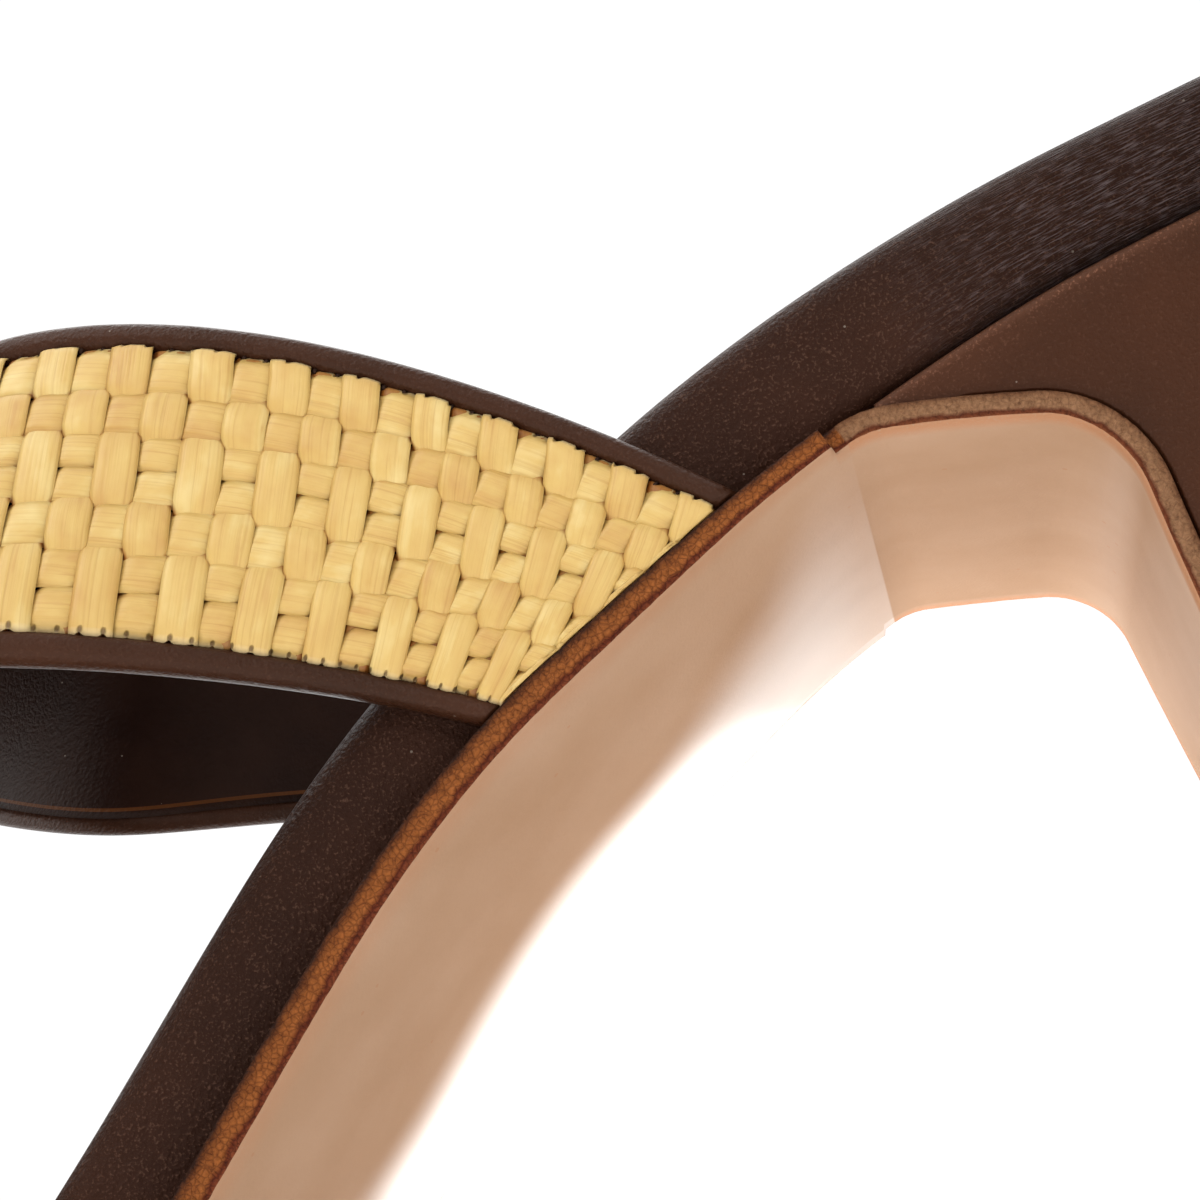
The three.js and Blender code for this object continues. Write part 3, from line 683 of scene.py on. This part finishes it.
def raw_edge():
    """Cut side of the sole leather: fibres with edge stain and a dark rim, plain on the flap."""
    made, tree, shader = surface("raw_edge")
    stain = mark(tree, "stain")
    place = object_place(tree)
    fuzz = node(tree, "TexNoise", {
        "Vector": place, "Scale": 2600.0, "Detail": 9.0, "Roughness": 0.75,
    })
    wave = node(tree, "TexNoise", {"Vector": place, "Scale": 700.0, "Detail": 4.0})
    strands = node(
        tree, "TexVoronoi", {"Vector": place, "Scale": 2300.0}, feature="DISTANCE_TO_EDGE"
    )
    uneven = sums(tree, "MULTIPLY_ADD", wave.outputs["Fac"], 0.36, -0.18)
    level = sums(tree, "ADD", pattern_place(tree)["Y"], uneven)
    colour = blend(tree, stain, ramp(tree, level, PLAIN_EDGE), ramp(tree, level, STAINED_EDGE))
    fibres = ramp(tree, fuzz.outputs["Fac"], EDGE_FIBRES)
    colour = blend(tree, 0.9, colour, fibres, "MULTIPLY")
    cracks = ramp(tree, strands.outputs["Distance"], EDGE_CRACKS)
    cracked = sums(tree, "MULTIPLY_ADD", stain, 0.4, 0.2)
    colour = blend(tree, cracked, colour, cracks, "MULTIPLY")
    relief = sums(tree, "MULTIPLY_ADD", strands.outputs["Distance"], 3.0, fuzz.outputs["Fac"])
    bump = node(tree, "Bump", {"Strength": 0.9, "Distance": 0.00018, "Height": relief})
    feed(tree, shader, {
        "Base Color": colour, "Normal": bump.outputs["Normal"],
        "Roughness": 0.75, "Specular IOR Level": 0.12,
    })
    return made


def sole_leather():
    """Grain side of the sole leather: pale, smooth, glossy where it turns away."""
    made, tree, shader = surface("sole_leather_grain_side")
    grain = use(tree, GRAIN, Pebbles=3400.0, Depth=0.00002)
    freckles = use(tree, SPECKS, Spacing=260.0, Size=0.05)
    mottle = sums(tree, "MULTIPLY_ADD", grain["Mottle"], 1.8, -0.4, clamped=True)
    colour = blend(tree, mottle, linear(149, 119, 94), linear(161, 133, 110))
    colour = tint(tree, colour, freckles["Specks"], 0.3, FRECKLE)
    spread = sums(tree, "MULTIPLY_ADD", grain["Flecks"], -0.7, 1.0)
    on_sole = mark(tree, "stain")
    rim = fade(tree, mark(tree, "inward"), 0.0, 2.4, 0.45, 0.0)
    rim = sums(tree, "MULTIPLY", rim, sums(tree, "MULTIPLY_ADD", on_sole, -0.6, 1.0))
    colour = tint(tree, colour, rim, spread, SOLE_RIM)
    away = node(tree, "LayerWeight", {"Blend": 0.5}).outputs["Facing"]
    gloss = fade(tree, away, 0.72, 0.84)
    feed(tree, shader, {
        "Base Color": colour,
        "Coat Weight": sums(
            tree, "MULTIPLY", gloss, sums(tree, "MULTIPLY_ADD", on_sole, 0.9, 0.1)
        ),
        "Coat IOR": 1.8,
        "Coat Roughness": 0.32,
        "Roughness": sums(tree, "MULTIPLY_ADD", grain["Mottle"], 0.14, 0.26),
        "Normal": grain["Normal"],
        "Specular IOR Level": 0.0,
    })
    return made


BAND = leather(
    "band_leather", (38, 21, 14), (50, 29, 20), 2300.0, 0.00012, 0.44,
    (620.0, 2900.0, 0.0008, -0.044, -0.062), fleck_dust_and_glint=0.15,
)
ROLLED = leather(
    "piping_leather", (46, 25, 14), (58, 32, 19), 3200.0, 0.00006, 0.38, shine=0.14
)
LINING = leather(
    "lining_leather", (28, 15, 11), (42, 25, 18), 2600.0, 0.00005, 0.38,
    edge_line=0.8, fleck_dust_and_glint=0.0,
)
SOCK = leather("sock_leather", (44, 28, 22), (60, 40, 32), 2400.0, 0.00005, 0.42)
HEEL = leather("heel_leather", (48, 25, 12), (59, 31, 16), 3000.0, 0.00006, 0.4, shine=0.12)
FLESH = leather("sole_leather_flesh_side", (70, 40, 22), (110, 66, 38), 1500.0, 0.0001, 0.7)
RUBBER = leather("lift_rubber", (24, 19, 17), (34, 28, 26), 1200.0, 0.00004, 0.62)
THREAD = leather("thread", (34, 22, 18), (52, 36, 28), 5200.0, 0.00005, 0.55)
RAFFIA = raffia()
RAW_EDGE = raw_edge()
SOLE_GRAIN = sole_leather()


def outline_place(share, grow):
    """Place along the sole and side of the foot for a share of the way round its outline."""
    side = 1 if share < 0.5 else -1
    way = 2 * share if share < 0.5 else 2 - 2 * share
    if way < 0.12:
        along = HEEL_ROUND - (HEEL_ROUND + grow) * math.cos(0.5 * math.pi * way / 0.12)
    elif way < 0.84:
        along = mix(HEEL_ROUND, SOLE_LENGTH - TOE_ROUND, (way - 0.12) / 0.72)
    else:
        angle = 0.5 * math.pi * (way - 0.84) / 0.16
        along = SOLE_LENGTH - TOE_ROUND + (TOE_ROUND + grow) * math.sin(angle)
    return along, side


def footbed_section():
    """Rows of (fill, inset, millimetres up, share of the thickness up) from below to above."""
    bottom, top = BOTTOM_ROUND, TOP_ROUND
    rows = [(1 - i / 4, FOOTBED_BULGE + bottom, 0.0, 0.0) for i in range(4)]
    for i in range(5):
        angle = 0.5 * math.pi * i / 4
        inset = FOOTBED_BULGE + bottom * (1 - math.sin(angle))
        rows.append((0.0, inset, bottom * (1 - math.cos(angle)), 0.0))
    for i in range(1, 8):
        t = i / 8
        inset = FOOTBED_BULGE * (1 - math.sin(math.pi * min(t * 1.3 + 0.1, 1) * 0.5))
        rows.append((0.0, inset, mix(bottom, -top, t), t))
    for i in range(7):
        angle = 0.5 * math.pi * i / 6
        rows.append((0.0, top * (1 - math.cos(angle)), -top * (1 - math.sin(angle)), 1.0))
    rows.append((0.0, SOCK_INSET, -0.2, 1.0))
    rows += [(i / 6, SOCK_INSET + 0.1, -SOCK_THICKNESS, 1.0) for i in range(7)]
    return rows


def sock_section():
    inset = SOCK_INSET + GAP + SOCK_ROUND
    rows = [(1 - i / 3, inset, 0.0, 0.0) for i in range(3)]
    for i in range(7):
        angle = math.pi * i / 6
        up = 0.5 * SOCK_THICKNESS * (1 - math.cos(angle))
        rows.append((0.0, inset - SOCK_ROUND * math.sin(angle), up, 0.0))
    rows += [(i / 6, inset, SOCK_THICKNESS, 0.0) for i in range(1, 7)]
    return rows


def sole_ring(bm, section, columns, height):
    """Closed body round the sole outline from the rows of a section."""
    rows = len(section) - 1

    def place(u, v):
        fill, inset, up, share = section[round(v * rows)]
        along, side = outline_place(u % 1.0, -inset)
        across = side * half_width(along, side, -inset) * (1 - fill)
        middle = clamp(along, HEEL_ROUND, SOLE_LENGTH - TOE_ROUND)
        along = mix(along, middle, fill)
        return bend(along, across, height(along, across, up, share))

    sheet(bm, columns, rows, place, lambda u, v: (u * 0.6, v * 0.06))


def make_footbed():
    def height(along, across, up, share):
        base = -camber_at(along, across, OUTSOLE_OVERHANG)
        top = thickness_at(along) - dish_at(along, across)
        return up + mix(base, top, share)

    bm = bmesh.new()
    sole_ring(bm, footbed_section(), 420, height)
    finished("footbed_wrap", bm, [BAND], ["footbed"])


def make_sock():
    def height(along, across, up, _):
        floor = thickness_at(along) - dish_at(along, across) - SOCK_THICKNESS
        return floor + GAP + up

    bm = bmesh.new()
    sole_ring(bm, sock_section(), 260, height)
    finished("sock_leather_sheet", bm, [SOCK], ["insole_sock"])


def outsole_section():
    """Corners of the sole leather's section: (share of the half width, outward, share down)."""
    corners = [(i / 6 - 1, 0.0, 0.0) for i in range(1, 12)]
    side = [(0.0, 0.0), (0.08, 0.12), (0.12, 0.4), (0.1, 0.7), (0.05, 0.9), (-0.12, 1.0)]
    corners += [(1.0, out, down) for out, down in side]
    corners += [(1 - i / 12, 0.0, 1.0) for i in range(1, 24)]
    corners += [(-1.0, -out, down) for out, down in reversed(side)]
    return corners


def make_outsole():
    section = outsole_section()
    flap = flap_path(8)
    top = flap[0][1]
    stops = [("flap", at) for at in reversed(flap[1:])]
    stops += [("sole", CORNER_ALONG), ("sole", HEEL_EDGE_END)]
    middle_end = SOLE_LENGTH - TOE_ROUND
    stops += [
        ("sole", mix(SOLE_EDGE_START, middle_end, i / WAIST_COLUMNS))
        for i in range(WAIST_COLUMNS)
    ]
    reach = TOE_ROUND + OUTSOLE_OVERHANG
    for i in range(TOE_COLUMNS + 1):
        stops.append(("sole", middle_end + reach * math.sin(0.5 * math.pi * i / TOE_COLUMNS)))
    columns = len(stops) - 1
    rows = len(section)

    def rough(u, down, share):
        """Unevenness of the cut edge, none on the flat of the leather."""
        if abs(share) < 1:
            return 0.0
        at = Vector((u * 260, down * 1.5, share * 7))
        return EDGE_BUMPS * noise.noise(at) + EDGE_NICKS * noise.noise(at * 2.7)

    def place(u, v):
        kind, at = stops[round(u * columns)]
        share, out, down = section[round(v * rows) % rows]
        if kind == "flap":
            x, z, slope = at
            fall = (top - z) / (top - TOP_PIECE_HEIGHT - GAP)
            half = half_width(FLAP_HALF_PLACE, share, FLAP_GROW) * heel_width_share(fall)
            height = -FLAP_THICKNESS * down
            y = share * half + out + share * rough(u, down, share)
            return (x + height * math.sin(slope), y, z + height * math.cos(slope))
        grow = OUTSOLE_OVERHANG if at >= SOLE_EDGE_START else FLAP_GROW
        half = max(half_width(at, share, grow), 0.4)
        y = share * half + out + share * rough(u, down, share)
        height = -camber_at(at, y, OUTSOLE_OVERHANG) - outsole_thickness(at) * down - GAP
        return bend(at, y, height)

    def pattern(u, v):
        return (u * 0.25, section[round(v * rows) % rows][2])

    def inward(u, v):
        kind, at = stops[round(u * columns)]
        share = abs(section[round(v * rows) % rows][0])
        half = half_width(CORNER_ALONG if kind == "flap" else at, 1, 0)
        return max(1.0 - share, 0.0) * half

    marks = {
        "stain": lambda u, v: 1.0 if stops[round(u * columns)][0] == "sole" else 0.0,
        "inward": inward,
    }
    bm = bmesh.new()
    faces = sheet(bm, columns, rows, place, pattern, marks)
    layer = bm.loops.layers.uv.verify()
    for face in faces:
        downs = [loop[layer].uv.y for loop in face.loops]
        if max(downs) < 0.01:
            face.material_index = 2
        elif min(downs) < 0.85:
            face.material_index = 1
    finished(
        "outsole_leather", bm, [SOLE_GRAIN, RAW_EDGE, FLESH], ["outsole"]
    )


def heel_outline():
    """(share of the way from back to tip, side) round the heel, closer at both ends."""
    shares = [0.5 - 0.5 * math.cos(math.pi * i / HEEL_COLUMNS) for i in range(HEEL_COLUMNS + 1)]
    return [(share, 1) for share in shares] + [(share, -1) for share in reversed(shares)]


def make_heel():
    bottom = TOP_PIECE_HEIGHT + GAP
    tip_x = sole_frame(HEEL_TIP_ALONG)[0]
    front = []
    for x, z, slope in flap_path(3):
        point = (x + GAP * math.sin(slope), z + GAP * math.cos(slope))
        if point[0] < tip_x and point[1] > bottom:
            front.append(point)
    front.append((front[-1][0], bottom))
    seat_tip = bend(HEEL_TIP_ALONG, 0, -GAP)
    seat_back = bend(-HEEL_GROW, 0, -GAP).x
    rolled = [(0.9, 0.0), (0.35, 0.18), (0.08, 0.5), (0.0, 0.95)]
    levels = [(seat_tip.x, seat_tip.z - drop, inset) for inset, drop in rolled]
    levels += [(x, z, 0.0) for x, z in front if z < seat_tip.z - 1.2]
    around = heel_outline()
    rows, columns = len(levels) - 1, len(around)

    def place(u, v):
        x_front, z, inset = levels[round(v * rows)]
        share, side = around[round(u * columns) % columns]
        down = (seat_tip.z - z) / (seat_tip.z - bottom)
        along = mix(-HEEL_GROW, HEEL_TIP_ALONG, share)
        seat = bend(along, 0, -GAP)
        y = side * max(half_width(along, side, HEEL_GROW) * heel_width_share(down) - inset, 0)
        row_share = (seat.x - seat_back) / (seat_tip.x - seat_back)
        x = mix(seat_back + heel_back(down) + HEEL_GROW + inset, x_front, row_share)
        return (x, y, mix(seat.z, bottom, down))

    bm = bmesh.new()
    # rows of the rolled top rim, which get the painted highlight
    marks = {"rim_highlight": lambda u, v: {1: 0.5, 2: 0.9, 3: 0.2}.get(round(v * rows), 0.0)}
    sheet(bm, columns, rows, place, lambda u, v: (u * 0.16, v * 0.07), marks)
    finished("heel_cover", bm, [HEEL], ["heel_block"])


def make_lift():
    front = flap_path(1)[-1][0] + FLAP_THICKNESS
    back = heel_lift_corner()[0]
    around = heel_outline()
    rings = [(0.9, 0.0), (0.4, 0.05), (0.1, 0.3), (0.0, 0.8), (0.0, 3.0), (0.0, 5.6), (0.3, 6.0)]
    rows, columns = len(rings) - 1, len(around)

    def place(u, v):
        inset, z = rings[round(v * rows)]
        share, side = around[round(u * columns) % columns]
        along = mix(-HEEL_GROW, HEEL_TIP_ALONG, share)
        half = half_width(along, side, HEEL_GROW) * heel_width_share(1)
        y = side * max(half - inset, 0)
        return (mix(back + inset, front - inset, share), y, z)

    bm = bmesh.new()
    sheet(bm, columns, rows, place, lambda u, v: (u * 0.14, v * 0.006))
    finished("heel_lift", bm, [RUBBER], ["heel_top_piece"])


class Strap:
    """Curved sheet of one strap: around 0 to 1 from the outer to the inner side, wide -1 to 1."""

    SAMPLES = 60

    def __init__(self, row):
        self.row = row
        self.columns = row["columns"]
        total = sum(row["rows"])
        self.edges = [-WEAVE_SHARE]
        for part in row["rows"]:
            self.edges.append(self.edges[-1] + 2 * WEAVE_SHARE * part / total)
        self.table = {}
        for side in (1, -1):
            self.table[side] = [
                self.control(side, mix(-SHEET_HALF, SHEET_HALF, i / self.SAMPLES))
                for i in range(self.SAMPLES + 1)
            ]

    def control(self, side, wide):
        row = self.row
        along = row["base"] + wide * row["half_base"]
        foot = bend(along, side * (half_width(along, side, 0) + STRAP_STANDOFF), 0)
        x, z = sole_frame(row["base"])[:2]
        fall = math.radians(row["crest_slope"])
        crest = Vector((
            x + row["crest_forward"] + wide * row["half_crest"] * math.cos(fall),
            bend(along, 0, 0).y,
            z + row["crest_up"] - wide * row["half_crest"] * math.sin(fall),
        ))
        leave = foot + Vector((
            row["leave_forward"] + wide * row["leave_forward_taper"],
            -side * row["leave_in"],
            row["leave_up"] + wide * row["leave_up_taper"],
        ))
        reach = row["crest_handle"] + wide * row["crest_handle_taper"]
        arrive = crest + Vector((0, side * reach, 0))
        return foot, leave, arrive, crest

    def strip_place(self, share):
        """Place round the strap of a share of its crosswise strips, closer where they gather."""
        foot, crest = self.row["foot_gather"] / 6, self.row["crest_gather"] / 7
        t = 2 * min(share, 1 - share)
        target = t * (1 + foot + crest)
        for _ in range(8):
            passed = t + foot * (1 - (1 - t) ** 6) + crest * t ** 7
            speed = 1 + 6 * foot * (1 - t) ** 5 + 7 * crest * t ** 6
            t = clamp(t - (passed - target) / speed, 0, 1)
        return 0.5 * t if share <= 0.5 else 1 - 0.5 * t

    def strip_point(self, share, wide, lift):
        return self.point(self.strip_place(clamp(share, 0, 1)), wide, lift)

    def point(self, around, wide, lift):
        side = 1 if around <= 0.5 else -1
        t = 2 * around if around <= 0.5 else 2 - 2 * around
        place = clamp((wide + SHEET_HALF) / (2 * SHEET_HALF), 0, 1) * self.SAMPLES
        cell = min(int(place), self.SAMPLES - 1)
        part = place - cell
        first, second = self.table[side][cell], self.table[side][cell + 1]
        s = 1 - t
        weights = (s * s * s, 3 * s * s * t, 3 * s * t * t, t * t * t)
        low = first[0] * weights[0] + first[1] * weights[1]
        low += first[2] * weights[2] + first[3] * weights[3]
        high = second[0] * weights[0] + second[1] * weights[1]
        high += second[2] * weights[2] + second[3] * weights[3]
        run = (first[1] - first[0]) * (s * s) + (first[2] - first[1]) * (2 * s * t)
        run += (first[3] - first[2]) * (t * t)
        outward = (run.cross(high - low) * side).normalized()
        return low.lerp(high, part) + outward * lift


def woven(value):
    """Height of a strip over and under its neighbours: flat-topped waves."""
    return math.tanh(2.4 * value) / math.tanh(2.4)


def strap_length(strap, wide):
    points = [strap.point(i / 60, wide, 0) for i in range(61)]
    return sum((b - a).length for a, b in zip(points, points[1:]))


def stitch_count(strap):
    return round(strap_length(strap, WEAVE_SHARE) / STITCH_PITCH)


def rim(wide):
    """Millimetres from a place on the weave to its border."""
    return (BORDER_SHARE - abs(wide)) * HALF_STRAP


def make_weave(name, strap):
    """Crosswise strips, and long strips over and under them, single or in pairs."""
    draw = random.Random(name)
    columns, edges = strap.columns, strap.edges
    count = len(edges) - 1
    bm = bmesh.new()
    stitches = stitch_count(strap)
    past = (BORDER_SHARE - WEAVE_SHARE) / (edges[1] - edges[0])

    def row_place(x):
        cell = int(clamp(x, 0, count - 0.001))
        wide = mix(edges[cell], edges[cell + 1], x - cell)
        return clamp(wide, -BORDER_SHARE, BORDER_SHARE)

    def crown(v):
        return STRIP_CROWN * abs(2 * v - 1) ** 4

    def lean(around):
        """Slant of the crosswise strips, which stand more upright than the strap's ends."""
        outer, inner = clamp(around, 0, 1) / FOOT_REACH, clamp(1 - around, 0, 1) / FOOT_REACH
        return WEAVE_SKEW + FOOT_SKEW * (math.exp(-outer * outer) - math.exp(-inner * inner))

    def skewed(around, wide):
        return around - lean(around) * wide, wide

    def pulled(around):
        """1 at a stitch, falling to 0 beside it."""
        phase = (around * stitches) % 1.0 - 0.5
        return math.exp(-(((abs(phase) - 0.5) / STITCH_REACH) ** 2))

    def border_fall(around, wide):
        """Fall of the strips at the border, deeper where a stitch pulls them."""
        near = clamp(1 - rim(wide) / BORDER_ROLL, 0, 1)
        fall = FRONT_FALL if wide > 0 else REAR_FALL
        return (fall + STITCH_FALL * pulled(around)) * near * near

    def trimmed(around, wide):
        """Strip ends shortened into notches at the stitches."""
        end = BORDER_SHARE - (FRONT_NOTCH if wide > 0 else REAR_NOTCH) * pulled(around)
        return around, clamp(wide, -end, end)

    def strip(length_steps, width_steps, at, high_at, uv, tone, flaw):
        """One strip: at(u, v) gives its place round and across the strap."""
        def place(u, v):
            around, wide = trimmed(*skewed(*at(u, v)))
            lift = STRIP_BASE + STRIP_RISE * high_at(u) - crown(v) - border_fall(around, wide)
            lift += STRIP_FLAWS * noise.noise(Vector((flaw, around * columns * 1.6, wide * 9)))
            return strap.strip_point(around, wide, lift)

        marks = {
            "tone": lambda u, v: tone,
            # depth: how far the strip sinks under its neighbours and toward its edges, which the
            # raffia paints as shade
            "depth": lambda u, v: 0.4 - 0.4 * high_at(u) + 0.4 * abs(2 * v - 1) ** 8,
            "rim": lambda u, v: rim(trimmed(*skewed(*at(u, v)))[1]),
            "stitch": lambda u, v: skewed(*at(u, v))[0] * stitches,
        }
        sheet(bm, length_steps, width_steps, place, uv, marks)

    for i in range(-SPARE_COLUMNS, columns + SPARE_COLUMNS):
        turn = -1 if i % 2 else 1
        shift, swell = draw.uniform(-0.06, 0.06), draw.uniform(-0.02, 0.03)
        tone, flaw = draw.random(), draw.uniform(0, 50)

        def at(u, v):
            x = mix(-past, count + past, u)
            wobble = CROSSWISE_WOBBLE * noise.noise(Vector((flaw, x * 0.9, 0)))
            half = 0.485 + 0.03 * high_at(u) + swell
            return (i + 0.5 + shift + wobble + (2 * v - 1) * half) / columns, row_place(x)

        def high_at(u):
            x = clamp(mix(-past, count + past, u), 0.5, count - 0.5)
            return turn * woven(math.sin(math.pi * x))

        def uv(u, v):
            return (u * 0.019 + i * 0.1, v * 0.0028)

        strip(count * 8, 9, at, high_at, uv, tone, flaw)
    for j in range(count):
        turn = 1 if j % 2 else -1
        paired = j in strap.row["doubled"]
        for centre, half_share in [(0.25, 0.24), (0.75, 0.24)] if paired else [(0.5, 0.48)]:
            tone, flaw, swell = draw.random(), draw.uniform(0, 50), draw.uniform(0, 0.015)

            def at(u, v):
                x = u * columns
                wobble = LENGTHWISE_WOBBLE * noise.noise(Vector((flaw, x * 0.5, 0)))
                half = (half_share + swell) * (1 + 0.04 * high_at(u))
                share = centre + wobble + (2 * v - 1) * half
                wide = mix(edges[j], edges[j + 1], share)
                if j == 0 and v == 0 and centre < 0.6:
                    wide = -BORDER_SHARE
                if j == count - 1 and v == 1 and centre > 0.4:
                    wide = BORDER_SHARE
                return u + lean(u) * wide, wide

            def high_at(u):
                middle = mix(edges[j], edges[j + 1], centre)
                return turn * woven(math.sin(math.pi * columns * (u + lean(u) * middle)))

            def uv(u, v):
                return (u * STRAP_LENGTH + 7.0 + j + centre, v * 0.0035)

            strip(columns * 7, 5, at, high_at, uv, tone, flaw)
    piece = finished(name + "_weave", bm, [RAFFIA], [name], closed=False)
    thicken(piece, "strip wall", STRIP_THICKNESS)


def make_stitches(name, strap):
    """Short thread bites that hold the weave down to the rear piping."""
    stitches = stitch_count(strap)
    draw = random.Random(name + "stitches")
    bm = bmesh.new()
    for i in range(1, stitches):
        around = (i + draw.uniform(-0.08, 0.08)) / stitches
        start = draw.uniform(0.8, 0.812)

        def place(u, v):
            angle = 2 * math.pi * u
            girth = THREAD_GIRTH * math.sqrt(max(1 - (2 * v - 1) ** 2, 0)) ** 0.6
            lift = THREAD_ARCH * math.sin(math.pi * v) - THREAD_DEPTH + girth * math.sin(angle)
            side = girth * math.cos(angle) * MM / STRAP_LENGTH
            return strap.strip_point(around + side, -mix(start, THREAD_END, v), lift)

        sheet(bm, 6, 5, place, lambda u, v: (u, v))
    finished(f"{name}_stitches", bm, [THREAD], [])


def make_piping(name, strap, edge):
    label = f"{name}_{'front' if edge > 0 else 'rear'}"

    def squared(value):
        return math.copysign(abs(value) ** PIPING_SQUARENESS, value)

    def place(u, v):
        angle = 2 * math.pi * v
        ripple = 0.03 * noise.noise(Vector((u * 60, math.cos(angle), edge * 9)))
        wide = edge * PIPING_SHARE + squared(math.cos(angle)) * PIPING_HALF_SHARE
        lift = PIPING_HALF_THICKNESS * (squared(math.sin(angle)) - 1) - PIPING_SINK + ripple
        return strap.point(u, wide, lift)

    bm = bmesh.new()
    sheet(bm, 300, 20, place, lambda u, v: (u * STRAP_LENGTH, v * 0.007))
    finished(f"{label}_roll", bm, [ROLLED], [f"{label}_piping"])


def make_lining(name, strap):
    def place(u, v):
        return strap.point(u, mix(-LINING_SHARE, LINING_SHARE, v), -LINING_DEPTH)

    def pattern(u, v):
        return (u * STRAP_LENGTH, (2 * v - 1) * LINING_SHARE)

    bm = bmesh.new()
    sheet(bm, 160, 24, place, pattern)
    piece = finished(
        f"{name}_lining_leather", bm, [LINING], [f"{name}_lining"],
        closed=False,
    )
    thicken(piece, "lining wall", LINING_THICKNESS)


def make_strap(name):
    strap = Strap(STRAPS[name])
    node_name = name + "_strap"
    make_weave(node_name, strap)
    make_lining(node_name, strap)
    make_stitches(node_name, strap)
    for edge in (-1, 1):
        make_piping(node_name, strap, edge)


def make_floor():
    bm = bmesh.new()
    bmesh.ops.create_circle(bm, cap_ends=True, radius=6.0, segments=96)
    mesh = bpy.data.meshes.new("studio_floor")
    bm.to_mesh(mesh)
    bm.free()
    floor = stand("studio_floor", mesh)
    made, tree, shader = surface("pale_floor")
    feed(tree, shader, {
        "Base Color": (0.9, 0.9, 0.9, 1), "Roughness": 0.7,
        "Emission Color": (1, 1, 1, 1), "Emission Strength": 0.5,
    })
    mesh.materials.append(made)


# place and size in metres, watts
LAMPS = {
    "key": ((0.45, 0.5, 0.85), (0.6, 0.5), 5.5),
    "front": ((-0.15, 0.95, 0.5), (0.22, 0.22), 2.2),
    "top": ((0.1, -0.35, 1.0), (0.9, 0.9), 6.0),
    "side": ((-0.6, 0.2, 0.9), (0.5, 0.5), 1.5),
}
LAMP_AIM = Vector((0.0, 0.0, 0.05))
# lamp behind the arch, in millimetres from the heel corner
GLOW_FROM = Vector((24.0, -62.0, -32.0))
GLOW_TO = Vector((-4.0, -20.0, -10.0))
GLOW_SIZE = (0.06, 0.06)
GLOW_POWER = 0.06


def make_light(name, place, size, power, aim):
    data = bpy.data.lights.new(name, "AREA")
    data.shape = "RECTANGLE"
    data.size, data.size_y = size
    data.energy = power
    lamp = stand(name, data)
    lamp.location = place
    lamp.visible_camera = False
    lamp.rotation_euler = (aim - Vector(place)).to_track_quat("-Z", "Y").to_euler()


def make_studio():
    """Bright backdrop behind the shoe, dim room before it, and soft lamps above."""
    make_floor()
    for name, (place, size, power) in LAMPS.items():
        make_light(name, place, size, power, LAMP_AIM)
    corner = bend(CORNER_ALONG, 0, 0)
    wall = placed(corner + GLOW_FROM)
    make_light("wall_glow", wall, GLOW_SIZE, GLOW_POWER, placed(corner + GLOW_TO))
    world = bpy.data.worlds.new("white_room")
    bpy.context.scene.world = world
    world.use_nodes = True
    tree = world.node_tree
    tree.nodes.clear()
    towards = node(tree, "SeparateXYZ", {"Vector": node(tree, "TexCoord").outputs["Generated"]})
    above = sums(tree, "MULTIPLY_ADD", towards.outputs["Z"], 0.5, 0.2, clamped=True)
    behind = fade(tree, towards.outputs["Y"], -0.2, -0.8, 0.0, 1.7)
    strength = sums(tree, "ADD", above, behind)
    seen = node(tree, "Background", {"Color": (1, 1, 1, 1), "Strength": 1.05})
    lit = node(tree, "Background", {"Color": (1, 1, 1, 1), "Strength": strength})
    path = node(tree, "LightPath")
    mixed = node(tree, "MixShader", {
        0: path.outputs["Is Camera Ray"], 1: lit.outputs[0], 2: seen.outputs[0],
    })
    node(tree, "OutputWorld", {"Surface": mixed.outputs[0]})


FOCAL_LENGTH = 79.8
SENSOR = 36.0
CAMERA_DISTANCE = 171.2
CAMERA_ELEVATION = -15.2
CAMERA_SWING = 6.0
CAMERA_ROLL = 13.8
AIM_FROM_CORNER = Vector((17.2, 0.0, -8.1))
AIM_ACROSS = 29.0


def make_camera():
    corner = bend(CORNER_ALONG, 0, 0)
    aim = Vector((corner.x, AIM_ACROSS, corner.z)) + AIM_FROM_CORNER
    rise, swing, roll = (
        math.radians(value) for value in (CAMERA_ELEVATION, CAMERA_SWING, CAMERA_ROLL)
    )
    toward = Vector((
        -math.sin(swing) * math.cos(rise), math.cos(swing) * math.cos(rise), math.sin(rise)
    ))
    right = (-toward).cross(Vector((0, 0, 1))).normalized()
    up = right.cross(-toward)
    picture_right = right * math.cos(roll) - up * math.sin(roll)
    picture_up = right * math.sin(roll) + up * math.cos(roll)
    data = bpy.data.cameras.new("camera")
    data.lens = FOCAL_LENGTH
    data.sensor_width = SENSOR
    data.sensor_fit = "HORIZONTAL"
    data.clip_start = 0.002
    camera = stand("camera", data)
    turn = Matrix((picture_right, picture_up, toward)).transposed()
    camera.matrix_world = turn.to_4x4()
    camera.location = placed(aim + toward * CAMERA_DISTANCE)
    bpy.context.scene.camera = camera


bpy.context.scene.view_settings.view_transform = "Standard"
make_camera()
make_footbed()
make_sock()
make_outsole()
make_heel()
make_lift()
make_strap("instep")
make_strap("toe")
make_studio()
